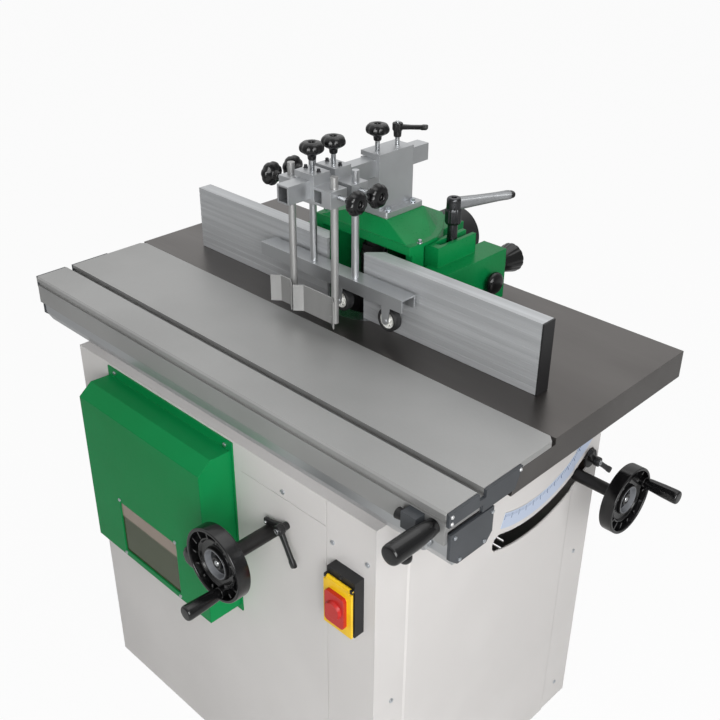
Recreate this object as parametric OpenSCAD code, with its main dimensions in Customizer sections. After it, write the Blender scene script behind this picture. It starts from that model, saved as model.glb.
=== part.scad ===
// Spindle moulder with a sliding table, a tilting spindle unit and a pressure device over the spindle.
// X runs along the fence, Y from the operator to the back, Z up. The origin lies on the floor, at the
// centre of the cabinet's footprint and of its four anchor holes. The spindle stands at x = 0.

/* [Cabinet] */
// Width of the cabinet
cab_w = 756; // [752:1:762]
// Depth of the cabinet
cab_d = 588; // [584:1:592]
// Height of the cabinet's top flange above the floor
cab_h = 764; // [744:1:784]
// Thickness of the sheet metal walls
sheet = 3; // [2:0.5:4]
// Height of the channel round the foot
plinth_h = 80; // [60:1:100]
// Side of the square corner posts
post_w = 20; // [16:1:20]
// Thickness of the top flange
flange_t = 20; // [14:1:22]
// Distance between the anchor holes along X
anchor_x = 640; // [620:1:650]
// Distance between the anchor holes along Y
anchor_y = 480; // [460:1:490]
// Radius of an anchor hole
anchor_r = 7; // [5:0.5:9]

/* [Front cover] */
// Left face of the green cover
cover_x0 = -279; // [-284:1:-274]
// Right face of the green cover
cover_x1 = 60.3; // [56:0.1:64]
// Depth of the cover in front of the cabinet
cover_d = 67.5; // [66:0.5:75]
// Height of the cover's underside above the floor
cover_z0 = 420; // [405:1:422]
// Wall of the cover
cover_t = 2.5; // [2:0.1:3]
// Height of the window
window_h = 110.5; // [90:0.5:114]
// Width of the window
window_w = 167; // [140:1:180]

/* [Table] */
// Length of the table along X
table_len = 1000; // [980:1:1020]
// Centre of the table along X
table_x = -4; // [-6:1:-2]
// Height of the table's face above the cabinet
table_gap = 96; // [94:0.5:100]
// Depth of the fixed table along Y
main_d = 361; // [356:1:366]
// Thickness of the table plate
plate_t = 12; // [11:0.5:13]
// Height of the table's rim
rim_h = 48.5; // [44:0.5:50]
// Width of the table's rim
rim_w = 16; // [12:1:18]
// Diameter of the seat of the table ring
ring_seat_d = 190; // [186:1:194]
// Diameter of the hole in the table ring
ring_bore_d = 130; // [124:1:134]
// Thickness of the table ring
ring_t = 9; // [7:0.5:9.5]

/* [Sliding table] */
// Width of the sliding table along Y
slide_w = 240; // [238:1:242]
// Thickness of the sliding plate
slide_t = 10; // [9:0.5:10.5]
// Height of the hollow section below the plate
slide_box_h = 23; // [22:0.5:24]
// Width of the T-slot
tslot_w = 14; // [12:0.5:16]
// Distance of the T-slot's centre from the front edge
tslot_y = 70; // [69:0.5:71]
// Diameter of the guide rods
guide_d = 16; // [14:0.5:17]
// Diameter of the push handle
grip_d = 30; // [26:0.5:34]
// Length of the push handle
grip_l = 86; // [76:1:96]

/* [Spindle] */
// Distance of the spindle behind the cabinet's centre
spindle_y = 92; // [91:0.5:93]
// Diameter of the spindle
arbor_d = 30; // [25:1:32]
// Diameter of the quill
quill_d = 90; // [86:1:92]
// Depth of the tilt axis below the table's face
pivot_drop = 22; // [21:0.5:23]
// Diameter of the motor
motor_d = 156; // [148:1:158]
// Length of the motor
motor_l = 215; // [200:1:218]
// Distance of the motor's axis from the spindle
motor_dx = 165; // [162:1:170]

/* [Tilt drive] */
// Teeth on a full circle of the toothed segment
seg_teeth = 121; // [121:1:121]
// Module of the worm and the segment
gear_m = 3; // [3:0.1:3]
// Pitch radius of the worm
worm_r = 14.5; // [14:0.1:15]
// Middle radius of the arc slot in the right side
arc_r = 282.25; // [281:0.25:284]
// Width of the arc slot
arc_w = 32.5; // [30:0.5:34]
// Place of the tilt shaft along X
tilt_x = 158; // [157.5:0.5:158.5]
// Diameter of the drive shafts
shaft_d = 20; // [18:0.5:21]

/* [Handwheels] */
// Diameter of a handwheel
wheel_d = 125; // [115:1:135]
// Width of a handwheel's rim
wheel_w = 20; // [18:1:24]
// Diameter of a turning grip
crank_d = 25; // [20:0.5:28]
// Length of a turning grip
crank_l = 63; // [55:1:70]

/* [Fence] */
// Thickness of the fence
fence_t = 28; // [26:0.5:29]
// Height of the fence
fence_h = 121.6; // [115:0.1:130]
// Front face of the fence behind the cabinet's centre
fence_y = 19.4; // [19:0.1:20]
// Length of the left fence half
fence_left_l = 359.3; // [340:0.1:370]
// Length of the right fence half
fence_right_l = 365.1; // [345:0.1:380]
// Half of the gap between the fence halves
fence_gap = 44.6; // [44:0.1:50]

/* [Hood] */
// Height of the hood's platform above the table
hood_h = 140; // [139:0.5:142]
// Wall of the hood casting
hood_t = 8; // [7:0.5:9]
// Outer diameter of the dust port
port_d = 100; // [96:1:104]
// Outer face of the right carrier along X
carrier_x = 168; // [166:1:170]

/* [Pressure device] */
// Width of the square beam
beam_w = 26; // [25:0.5:26.5]
// Height of the square beam
beam_h = 30; // [29:0.5:30.5]
// Wall of the beam
beam_t = 3; // [2:0.5:4]
// Length of the beam
beam_l = 328; // [320:1:336]
// Height of the beam's underside above the table
beam_z = 232; // [230:0.5:234]
// Diameter of the upright rods
rod_d = 12.5; // [12:0.1:13]
// Distance between the rods of a pair
rod_pitch = 100; // [98:0.5:102]
// Thickness of the board that the rollers rest on
work_t = 18; // [16:0.5:20]
// Diameter of a pressure roller
roller_d = 42; // [40:0.5:44]
// Diameter of a star knob
star_d = 40; // [36:0.5:41]

/* [Switch] */
// Width of the switch box
switch_w = 58; // [56:1:60]
// Height of the switch box
switch_h = 105; // [100:1:110]
// Depth of the switch box in front of the cabinet
switch_d = 19; // [18:0.5:22]

/* [Fits] */
// Radial clearance of a running fit
fit = 0.05; // [0.03:0.01:0.08]
// Gap between curved faces that move past each other
gap = 0.3; // [0.3:0.05:0.4]

/* [Hidden] */
$fn = 48;

top = cab_h + table_gap;
front_y = -cab_d / 2;
back_y = cab_d / 2;
side_x = cab_w / 2;
table_x0 = table_x - table_len / 2;
table_x1 = table_x + table_len / 2;
slide_back = front_y + slide_w;
main_back = slide_back + main_d;
pivot_z = top - pivot_drop;
rail_front = front_y + 8;
flange_w = 34;
inside_x = side_x - sheet;
inside_y = back_y - sheet;

green = [0.05, 0.52, 0.28];
grey = [0.81, 0.80, 0.79];
dark = [0.13, 0.13, 0.14];
steel = [0.72, 0.73, 0.74];
iron = [0.45, 0.44, 0.43];
aluminium = [0.74, 0.75, 0.76];

// Shared forms

module block(a, b) {
    translate(a) cube(b - a);
}

// The children are drawn in Y and Z and run from x0 to x1.
module along_x(x0, x1) {
    translate([x0, 0, 0]) rotate([90, 0, 90]) linear_extrude(x1 - x0) children();
}

// The children are drawn in X and Z and run from y0 to y1.
module along_y(y0, y1) {
    translate([0, y1, 0]) rotate([90, 0, 0]) linear_extrude(y1 - y0) children();
}

module rod_x(x0, x1, y, z, r) {
    translate([x0, y, z]) rotate([0, 90, 0]) cylinder(r = r, h = x1 - x0);
}

module rod_y(y0, y1, x, z, r) {
    translate([x, y1, z]) rotate([90, 0, 0]) cylinder(r = r, h = y1 - y0);
}

module rod_z(z0, z1, x, y, r) {
    translate([x, y, z0]) cylinder(r = r, h = z1 - z0);
}

// A rectangle with round corners, centred.
module round_rect(w, h, r) {
    square([w - 2 * r, h], center = true);
    square([w, h - 2 * r], center = true);
    for (sx = [-1, 1], sy = [-1, 1]) translate([sx * (w / 2 - r), sy * (h / 2 - r)]) circle(r);
}

// A sector of a ring round the origin. Angles are measured from straight down, positive to the right.
module arc_sector(r0, r1, a0, a1) {
    steps = 6;
    big = r1 * 1.3;
    intersection() {
        difference() {
            circle(r1, $fn = 180);
            circle(r0, $fn = 180);
        }
        polygon(concat([[0, 0]], [
            for (i = [0:steps]) let (a = a0 + (a1 - a0) * i / steps) [big * sin(a), -big * cos(a)]
        ]));
    }
}

// A hexagon screw head with its washer, standing on z = 0.
module hex_head(across, high) {
    cylinder(d = across * 1.45, h = 1.6, $fn = 32);
    translate([0, 0, 1.6]) cylinder(d = across * 1.155, h = high, $fn = 6);
}

// A small round screw head standing on z = 0.
module pan_head(d) {
    cylinder(d = d, h = d * 0.22, $fn = 24);
    translate([0, 0, d * 0.22]) cylinder(d1 = d, d2 = d * 0.6, h = d * 0.12, $fn = 24);
}

// A star knob with a hub and its stud. The end of the stud is at z = 0.
star_h = 17;
star_hub_h = 13;
star_lobes = 7;
module star_knob(stud_l, stud_r = 4) {
    cylinder(r = stud_r, h = stud_l + 1, $fn = 32);
    translate([0, 0, stud_l]) cylinder(d1 = 12, d2 = 15, h = star_hub_h);
    translate([0, 0, stud_l + star_hub_h]) difference() {
        rotate_extrude() polygon([
            [0, 0], [star_d / 2 - 7, 0], [star_d / 2 - 1.5, 3.5], [star_d / 2, 7], [star_d / 2, 11],
            [star_d / 2 - 3, 15], [star_d / 2 - 8, star_h], [7, star_h], [6, star_h - 4], [0, star_h - 4]
        ]);
        for (i = [0:star_lobes - 1]) rotate([0, 0, i * 360 / star_lobes])
            translate([star_d / 2 + 3.6, 0, -1]) cylinder(r = 6, h = star_h + 2, $fn = 24);
    }
}

// A clamp lever: a hub with a screw in its top and an arm that rises outwards. The stud's end is at z = 0.
module clamp_lever(stud_l, stud_r, hub_r, hub_h, arm_l, rise) {
    cylinder(r = stud_r, h = stud_l + 1, $fn = 32);
    translate([0, 0, stud_l]) cylinder(r1 = hub_r * 0.75, r2 = hub_r, h = hub_h * 0.5);
    translate([0, 0, stud_l + hub_h * 0.5]) cylinder(r = hub_r, h = hub_h * 0.5);
    translate([0, 0, stud_l + hub_h]) cylinder(r = hub_r * 0.45, h = 1.5, $fn = 24);
    translate([0, 0, stud_l + hub_h * 0.72]) hull() {
        translate([hub_r * 0.4, 0, -hub_h * 0.2]) cylinder(r = hub_r * 0.55, h = hub_h * 0.35, $fn = 24);
        translate([arm_l, 0, rise]) cylinder(r = hub_r * 0.5, h = hub_h * 0.28, $fn = 24);
    }
}

// Cabinet

// Welded frame: channel round the foot, corner posts, top flange and the hangers of the tilt shaft.
bar_x0 = tilt_x + 27;
bar_x1 = bar_x0 + 20;
rail_flange_w = 107;
worm_z = pivot_z - seg_teeth * gear_m / 2 - worm_r;
hanger_y = 64;
hanger_t = 12;
boss_r = 17;
module cabinet_frame() color([0.35, 0.36, 0.37]) {
    difference() {
        block([-inside_x, -inside_y, 0], [inside_x, inside_y, plinth_h]);
        block([-inside_x + 6, -inside_y + 6, 8], [inside_x - 6, inside_y - 6, plinth_h + 1]);
        block([-inside_x + 90, -inside_y + 90, -1], [inside_x - 90, inside_y - 90, 9]);
        for (sx = [-1, 1], sy = [-1, 1])
            translate([sx * anchor_x / 2, sy * anchor_y / 2, -1]) cylinder(r = anchor_r, h = 10);
    }
    for (sx = [-1, 1], sy = [-1, 1])
        translate([sx * (inside_x - post_w / 2), sy * (inside_y - post_w / 2), plinth_h])
            translate([-post_w / 2, -post_w / 2, 0]) cube([post_w, post_w, cab_h - flange_t - plinth_h]);
    difference() {
        block([-inside_x, -inside_y, cab_h - flange_t], [inside_x, inside_y, cab_h]);
        block(
            [-inside_x + flange_w, -inside_y + rail_flange_w, cab_h - flange_t - 1],
            [inside_x - flange_w, inside_y - flange_w, cab_h + 1]
        );
    }
    block([bar_x0, -inside_y + rail_flange_w, cab_h - flange_t], [bar_x1, inside_y - flange_w, cab_h]);
    for (y = [spindle_y - hanger_y, spindle_y + hanger_y]) difference() {
        union() {
            block(
                [bar_x0, y - hanger_t / 2, worm_z - boss_r],
                [bar_x1, y + hanger_t / 2, cab_h - flange_t]
            );
            block([tilt_x, y - hanger_t / 2, worm_z - boss_r], [bar_x0, y + hanger_t / 2, worm_z + boss_r]);
            rod_y(y - hanger_t / 2, y + hanger_t / 2, tilt_x, worm_z, boss_r);
        }
        rod_y(y - hanger_t, y + hanger_t, tilt_x, worm_z, shaft_d / 2 + fit);
    }
}

// Left and rear wall, bent from one sheet, with louvre slots and the cable gland at the back.
vent_n = 7;
vent_w = 90;
gland_r = 12;
module rear_left_shell() color(grey) {
    difference() {
        union() {
            block([-side_x, front_y + sheet, 0], [-inside_x, back_y, cab_h]);
            block([-side_x, inside_y, 0], [inside_x, back_y, cab_h]);
        }
        for (i = [0:vent_n - 1], x = [-150, 150])
            translate([x - vent_w / 2, inside_y - 1, 180 + i * 22]) cube([vent_w, sheet + 2, 6]);
    }
    translate([side_x - 90, back_y, 160]) rotate([-90, 0, 0]) difference() {
        union() {
            cylinder(r = gland_r, h = 6, $fn = 6);
            cylinder(r = gland_r - 3, h = 18);
        }
        translate([0, 0, 4]) cylinder(r = 4.5, h = 20);
    }
}

// Right side: a sheet whose middle stands out, with the arc slot and the raised tilt scale.
step_out = 1.5;
arc_a0 = -22.4;
arc_a1 = 41;
scale_r0 = 226;
scale_r1 = 256;
module right_side() color(grey) {
    difference() {
        linear_extrude(cab_h) polygon([
            [side_x, front_y], [side_x, front_y + 68], [side_x + step_out, front_y + 72],
            [side_x + step_out, back_y - 81], [side_x, back_y - 76], [side_x, back_y],
            [inside_x, back_y], [inside_x, back_y - 77], [inside_x + step_out, back_y - 82],
            [inside_x + step_out, front_y + 73], [inside_x, front_y + 69], [inside_x, front_y]
        ]);
        translate([0, spindle_y, pivot_z]) along_x(inside_x - 1, side_x + step_out + 1) {
            arc_sector(arc_r - arc_w / 2, arc_r + arc_w / 2, arc_a0 + 3.3, arc_a1 - 3.3);
            for (a = [arc_a0 + 3.3, arc_a1 - 3.3])
                translate([arc_r * sin(a), -arc_r * cos(a)]) circle(d = arc_w);
        }
    }
    translate([0, spindle_y, pivot_z]) along_x(side_x + step_out, side_x + step_out + 0.8)
        arc_sector(scale_r0, scale_r1, arc_a0 + 2, 28);
}

// Front panel with the opening behind the cover and the seams of the bent sheet.
panel_x0 = -inside_x - sheet;
panel_x1 = inside_x;
cover_top = cab_h - 19;
open_inset = 14;
seam_z = cab_h - 50;
seam_x = 276;
module front_panel() color(grey) {
    difference() {
        block([panel_x0, front_y, 0], [panel_x1, front_y + sheet, cab_h]);
        block(
            [cover_x0 + open_inset, front_y - 1, cover_z0 + open_inset],
            [cover_x1 - open_inset, front_y + sheet + 1, cover_top - open_inset]
        );
        rod_y(front_y - 1, front_y + sheet + 1, tilt_x, worm_z, shaft_d / 2 + fit);
        rod_y(front_y - 1, front_y + sheet + 1, front_lock_x, front_lock_z, 5 + fit);
        block([cover_x1 + 20, front_y - 1, seam_z], [seam_x, front_y + 1, seam_z + 1.5]);
        block([seam_x, front_y - 1, 20], [seam_x + 1.5, front_y + 1, cab_h + 1]);
    }
}

// Green cover over the space that the motor swings into, with its flange and the window opening.
flange_x = 4.7;
window_x = -106.5;
window_z = 486.8;
cover_y = front_y - cover_d;
module front_cover() color(green) {
    bend = 42;
    slope = 20;
    difference() {
        along_x(cover_x0, cover_x1) polygon([
            [front_y, cover_top - 2], [front_y - bend, cover_top], [cover_y, cover_top - slope],
            [cover_y, cover_z0], [front_y, cover_z0]
        ]);
        along_x(cover_x0 + cover_t, cover_x1 - cover_t) polygon([
            [front_y + 1, cover_top - 2 - cover_t], [front_y - bend + cover_t * 0.3, cover_top - cover_t],
            [cover_y + cover_t, cover_top - slope - cover_t * 0.5], [cover_y + cover_t, cover_z0 + cover_t],
            [front_y + 1, cover_z0 + cover_t]
        ]);
        translate([window_x, 0, window_z]) along_y(cover_y - 1, cover_y + cover_t + 1)
            round_rect(window_w, window_h, 3);
        rod_y(cover_y - 1, cover_y + cover_t + 1, knob_x, knob_z, 4 + fit);
    }
    difference() {
        block(
            [cover_x0 - flange_x, front_y - cover_t, cover_z0 - 12],
            [cover_x1 + flange_x, front_y, cab_h - 4]
        );
        block(
            [cover_x0 + cover_t, front_y - cover_t - 1, cover_z0 + cover_t],
            [cover_x1 - cover_t, front_y + 1, cover_top - 2 - cover_t]
        );
    }
}

// Smoky pane screwed behind the window opening.
pane_t = 3;
module cover_window() color([0.35, 0.3, 0.25, 0.4]) {
    translate([window_x, 0, window_z]) along_y(cover_y + cover_t, cover_y + cover_t + pane_t)
        square([window_w + 18, min(window_h + 18, 2 * (window_z - cover_z0 - cover_t))], center = true);
}

// Black knob that fastens the cover.
knob_x = 36;
knob_z = 557;
module cover_knob() color(dark) {
    translate([knob_x, cover_y + 12, knob_z]) rotate([90, 0, 0]) {
        cylinder(r = 4, h = 13);
        translate([0, 0, 12 + gap]) difference() {
            rotate_extrude() polygon([[0, 0], [14, 0], [19, 3], [20, 8], [19, 13], [14, 16], [0, 16]]);
            for (i = [0:6]) rotate([0, 0, i * 360 / 7]) translate([23.5, 0, -1]) cylinder(r = 6, h = 20);
        }
    }
}

// Zinc-plated screws of the panels, the cover and the end plates, and the hexagon screws of the hood.
cover_screws = [[47, cab_h - 15], [-262, cab_h - 12], [47, cover_z0 - 6], [-262, cover_z0 - 6]];
panel_screws = [
    [182, cab_h - 37], [290.5, cab_h - 71], [362, cab_h - 70], [290.5, 60], [362, 60], [182, 40]
];
module fasteners() color(steel) {
    for (p = cover_screws) translate([p[0], front_y - cover_t, p[1]]) rotate([90, 0, 0]) pan_head(8);
    for (p = panel_screws) translate([p[0], front_y, p[1]]) rotate([90, 0, 0]) pan_head(8);
    for (sx = [-1, 1], sz = [-1, 1])
        translate([window_x + sx * (window_w / 2 - 1), cover_y, window_z + sz * (window_h / 2 + 5)])
            rotate([90, 0, 0]) pan_head(7);
    for (p = [[12, -43], [24, -85], [76, -85], [90, -43]])
        translate([table_x1 + end_t, rail_front + p[0] - 4, top + p[1] - 2]) rotate([0, 90, 0]) pan_head(6);
    for (sx = [-1, 1], y = [column_y0 + 13, column_y1 - 18])
        translate([sx * 30, y, top + base_z1]) hex_head(8, 5);
    for (sx = [-1, 1]) translate([sx * 111, 84, top + hood_h]) hex_head(6, 5);
    for (y = [front_y + 40, back_y - 40], z = [50, 400])
        translate([side_x, y, z]) rotate([0, 90, 0]) pan_head(8);
}

// Table

// Cast-iron main table: face plate, rim, shelf below the sliding table, boss, ribs and feet.
shelf_y0 = front_y + 163;
shelf_y1 = front_y + 141;
slide_gap = 0.5;
boss_h = 22;
foot_xs = [-352, -150, 150, 352];
foot_y = min(inside_y - flange_w, main_back - rim_w);
module main_table() color(iron) {
    z0 = top - rim_h;
    z1 = top - plate_t;
    shelf_z = top - slide_t - slide_gap;
    difference() {
        union() {
            along_x(table_x0, table_x1) polygon([
                [slide_back + slide_gap, top], [main_back, top], [main_back, z0], [main_back - rim_w, z0],
                [main_back - rim_w, z1], [slide_back + 14, z1], [slide_back + 14, shelf_z - 12],
                [shelf_y0 + 10, shelf_z - 12], [shelf_y1 + 16, z0], [shelf_y1, z0],
                [shelf_y0, shelf_z], [slide_back + slide_gap, shelf_z]
            ]);
            for (x = [table_x0, table_x1 - rim_w])
                along_x(x, x + rim_w) polygon([
                    [shelf_y1 + 4, z0], [shelf_y0 + 4, shelf_z - 2], [slide_back + 10, shelf_z - 2],
                    [slide_back + 10, top - 2], [main_back - 2, top - 2], [main_back - 2, z0]
                ]);
            translate([0, spindle_y, top - boss_h - plate_t])
                cylinder(d = ring_seat_d + 24, h = boss_h + plate_t - 1, $fn = 96);
            for (x = [-230, 230]) block([x - 5, slide_back + 12, z0], [x + 5, main_back - 4, z1 + 2]);
            for (x = foot_xs) block([x - 20, foot_y, cab_h], [x + 20, inside_y - 4, z1 + 2]);
            for (x = [foot_xs[0], foot_xs[3]])
                block([x - 6, shelf_y1 + 8, cab_h], [x + 6, inside_y - 6, z0 + 20]);
        }
        translate([0, spindle_y, top - ring_t])
            cylinder(d = ring_seat_d, h = ring_t + 1, $fn = 96);
        translate([0, spindle_y, top - boss_h - plate_t - 1])
            cylinder(d = ring_seat_d - 14, h = boss_h + plate_t + 2, $fn = 96);
    }
}

module table_ring() color(steel) {
    translate([0, spindle_y, top - ring_t]) difference() {
        cylinder(d = ring_seat_d - 2 * gap, h = ring_t, $fn = 96);
        translate([0, 0, -1]) cylinder(d = ring_bore_d, h = ring_t + 2, $fn = 96);
    }
}

// Rail of the sliding table with its four bearing blocks.
guide_z = top - 26;
guide_ys = [front_y + 25, front_y + 78];
block_xs = [-90, 30];
block_l = 60;
rail_top = top - 45;
module slide_rail() color(aluminium) {
    difference() {
        union() {
            along_x(table_x0, table_x1) polygon([
                [rail_front, rail_top], [rail_front, top - 76], [rail_front + 12, cab_h],
                [rail_front + 77, cab_h], [rail_front + 89, top - 80], [rail_front + 89, rail_top]
            ]);
            for (x = block_xs, y = guide_ys)
                block([x, y - 13, rail_top - 1], [x + block_l, y + 13, top - 16.5]);
        }
        for (y = guide_ys) rod_x(block_xs[0] - 5, block_xs[1] + block_l + 5, y, guide_z, guide_d / 2 + fit);
        rod_y(rail_front - 1, rail_front + 8.3, lock_x, lock_z, 5 + fit);
        along_x(table_x0 - 1, table_x1 + 1) translate([rail_front + 30, cab_h + 12]) square([29, 24]);
    }
}

end_t = 5;
module rail_end_plates() color(dark) {
    for (x = [table_x0 - end_t, table_x1]) along_x(x, x + end_t) polygon([
        [rail_front - 1, top - 37], [rail_front - 1, top - 78], [rail_front + 16, top - 93],
        [rail_front + 77, top - 93], [rail_front + 89, top - 79], [rail_front + 89, top - 37]
    ]);
}

// Clamp lever of the sliding table: a flat metal arm with a black ball, on a pin in the rail's face.
lock_x = 461;
lock_z = top - 66;
module rail_lock_lever() color(steel) {
    translate([lock_x, rail_front, lock_z]) {
        rotate([90, 0, 0]) {
            translate([0, 0, -8]) cylinder(r = 5, h = 12);
            translate([0, 0, gap]) cylinder(r = 10, h = 12);
        }
        hull() {
            translate([0, -6, 0]) rotate([90, 0, 0]) cylinder(r = 6, h = 5, $fn = 24);
            translate([-19, -16, -28]) rotate([90, 0, 0]) cylinder(r = 5, h = 5, $fn = 24);
        }
        translate([-21, -18, -32]) sphere(r = 10, $fn = 32);
    }
}

// Sliding table: extruded plate with hollow section, T-slot, front groove, and two guide rods.
skirt_t = 6;
module sliding_table() color(steel) {
    z1 = top - slide_t;
    z0 = z1 - slide_box_h;
    difference() {
        union() {
            along_x(table_x0, table_x1) difference() {
                polygon([
                    [front_y, top - 3], [front_y + 3, top], [slide_back, top], [slide_back, z1],
                    [front_y + 155, z1], [front_y + 147, z0], [front_y + skirt_t, z0],
                    [front_y + skirt_t, top - 52], [front_y, top - 52], [front_y, top - 17],
                    [front_y + 4, top - 17], [front_y + 4, top - 10], [front_y, top - 10]
                ]);
                translate([front_y + tslot_y - tslot_w / 2, top - 12]) square([tslot_w, 13]);
                translate([front_y + tslot_y - tslot_w / 2 - 4, top - 12]) square([tslot_w + 8, 6]);
                for (y = guide_ys) translate([y - 17, z0 - 1]) square([34, slide_box_h - 5 + 1]);
                translate([front_y + 104, z0 + 4]) square([36, slide_box_h - 8]);
            }
            for (x = [table_x0, table_x1 - 15], y = guide_ys)
                block([x, y - 17.5, z0], [x + 15, y + 17.5, top - 14.5]);
            for (y = guide_ys) rod_x(table_x0 + 3, table_x1 - 3, y, guide_z, guide_d / 2);
        }
        for (x = [table_x0, table_x1]) translate([x, slide_back, top]) rotate([0, 0, 45])
            cube([14, 14, 3 * slide_t], center = true);
    }
}

module slide_end_plates() color(dark) {
    for (x = [table_x0 - end_t, table_x1]) along_x(x, x + end_t) difference() {
        polygon([
            [front_y + 2, top - 1], [front_y + 156, top - 1], [front_y + 142, top - 34],
            [front_y + 71, top - 34], [front_y + 71, top - 22], [front_y + 2, top - 22]
        ]);
        translate([front_y + tslot_y - tslot_w / 2, top - 12]) square([tslot_w, 12]);
    }
    difference() {
        block([bracket_x, front_y - 18, top - 44], [bracket_x + 26, front_y, top - 18]);
        rod_x(bracket_x - 1, bracket_x + 8.3, front_y - lock_knob_r - 1, top - 32, 3 + fit);
    }
}

// Black push handle of the sliding table.
handle_x = 478;
handle_z = top - 28;
module slide_handle() color(dark) {
    translate([handle_x, front_y, handle_z]) rotate([90, 0, 0]) rotate_extrude() polygon([
        [0, 0], [grip_d * 0.36, 0], [grip_d * 0.38, 6], [grip_d * 0.46, 18], [grip_d / 2, grip_l * 0.5],
        [grip_d / 2, grip_l - 4], [grip_d / 2 - 3, grip_l], [0, grip_l]
    ]);
}

bracket_x = 436;
lock_knob_r = 8.5;
module slide_lock_knob() color(dark) {
    translate([bracket_x + 8, front_y - lock_knob_r - 1, top - 32]) rotate([0, -90, 0]) {
        cylinder(r = 3, h = 10);
        translate([0, 0, 8 + gap]) cylinder(r1 = lock_knob_r - 1.5, r2 = lock_knob_r, h = 12);
    }
}

// Spindle unit

// Brackets under the table whose arc ribs carry the tilting frame.
side_in = 112;
side_out = 131.7;
guide_out = 148;
rib_r0 = 80;
rib_r1 = 90;
rib_t = 6;
module trunnion_guides() color(iron) {
    for (sx = [-1, 1]) translate([0, spindle_y, pivot_z]) {
        x0 = sx > 0 ? side_out + gap : -guide_out;
        x1 = sx > 0 ? guide_out : -side_out - gap;
        along_x(x0, x1) polygon([
            [-75, pivot_drop - plate_t], [75, pivot_drop - plate_t], [75, -60], [45, -103],
            [-45, -103], [-75, -60]
        ]);
        rib_x0 = sx > 0 ? side_out - rib_t : -side_out - gap - 1;
        along_x(rib_x0, rib_x0 + rib_t + gap + 1) arc_sector(rib_r0, rib_r1, -30, 30);
    }
}

// Tilting frame: side plates with arc grooves, quill tube, toothed segment and the arm of the lock.
seg_pitch_r = seg_teeth * gear_m / 2;
seg_x0 = tilt_x - 7;
seg_x1 = tilt_x + 7;
seg_a0 = -8.7;
seg_a1 = 54.7;
tooth_w = 3.4;
shaft_ry = 135.5;
shaft_rz = -246;
stud_a = 37;
stud_ry = arc_r * sin(stud_a);
stud_rz = -arc_r * cos(stud_a);
arm_x1 = inside_x - 25;
screw_x = 45;
screw_r = 8;
tube_z0 = -168;
tube_z1 = -100;
lug_top = [-62, -50];
lug_low = [-216, -204];
tube_r = quill_d / 2 + 13;
module side_plate() {
    arc_sector(20, 105, -28, 73);
    polygon([
        [-20, -90], [60, -60], [110, -50], [shaft_ry + 16, -50], [shaft_ry + 16, -66],
        [shaft_ry + 22, -230], [shaft_ry + 10, -268], [shaft_ry - 14, -268], [20, -178], [-20, -178]
    ]);
}
module tilt_frame() color([0.4, 0.42, 0.44]) {
    translate([0, spindle_y, pivot_z]) {
        difference() {
            union() {
                for (sx = [-1, 1]) difference() {
                    along_x(sx > 0 ? side_in : -side_out, sx > 0 ? side_out : -side_in) {
                        if (sx > 0) side_plate();
                        else {
                            arc_sector(20, 105, -28, 73);
                            translate([-20, -178]) square([40, 100]);
                        }
                    }
                    groove_x0 = sx > 0 ? side_out - rib_t - 1 : -side_out - 1;
                    along_x(groove_x0, groove_x0 + rib_t + 2)
                        arc_sector(rib_r0 - gap, rib_r1 + gap, -40, 80);
                }
                translate([0, 0, tube_z0]) cylinder(r = tube_r, h = tube_z1 - tube_z0);
                for (sx = [-1, 1]) block(
                    [sx > 0 ? tube_r - 8 : -side_in - 1, -9, tube_z0],
                    [sx > 0 ? side_in + 1 : -tube_r + 8, 9, tube_z1]
                );
                for (l = [lug_top, lug_low]) {
                    block([screw_x, shaft_ry - 14, l[0]], [side_in + 1, shaft_ry + 14, l[1]]);
                    rod_z(l[0], l[1], screw_x, shaft_ry, 14);
                }
                rod_x(side_in, side_out + 14, shaft_ry, shaft_rz, 20);
                rod_x(side_in, arm_x1, stud_ry, stud_rz, 11);
                along_x(side_in, side_out) hull() {
                    translate([stud_ry, stud_rz]) circle(r = 14, $fn = 32);
                    translate([shaft_ry, -200]) circle(r = 14, $fn = 32);
                }
            }
            translate([0, 0, tube_z0 - 1]) cylinder(r = quill_d / 2 + fit, h = tube_z1 - tube_z0 + 2);
            rod_z(lug_low[0] - 5, lug_top[1] + 5, screw_x, shaft_ry, screw_r + fit);
            rod_x(side_in - 5, side_out + 20, shaft_ry, shaft_rz, shaft_d / 2 + fit);
            rod_x(arm_x1 - 14.3, arm_x1 + 1, stud_ry, stud_rz, 6 + fit);
        }
        along_x(side_out - 1, seg_x1 - 2) arc_sector(126, 172, seg_a0 + 1, seg_a1 - 1);
        along_x(seg_x0, seg_x1) toothed_segment();
    }
}
module toothed_segment() {
    root = seg_pitch_r - 4;
    step = 360 / seg_teeth;
    arc_sector(140, root, seg_a0, seg_a1);
    for (k = [ceil(seg_a0 / step):floor(seg_a1 / step) - 1]) rotate((k + 0.5) * step) polygon([
        [-tooth_w / 2 - 1.3, -root + 0.5], [tooth_w / 2 + 1.3, -root + 0.5],
        [tooth_w / 2 - 0.8, -seg_pitch_r - 2.4], [-tooth_w / 2 + 0.8, -seg_pitch_r - 2.4]
    ]);
}

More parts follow.
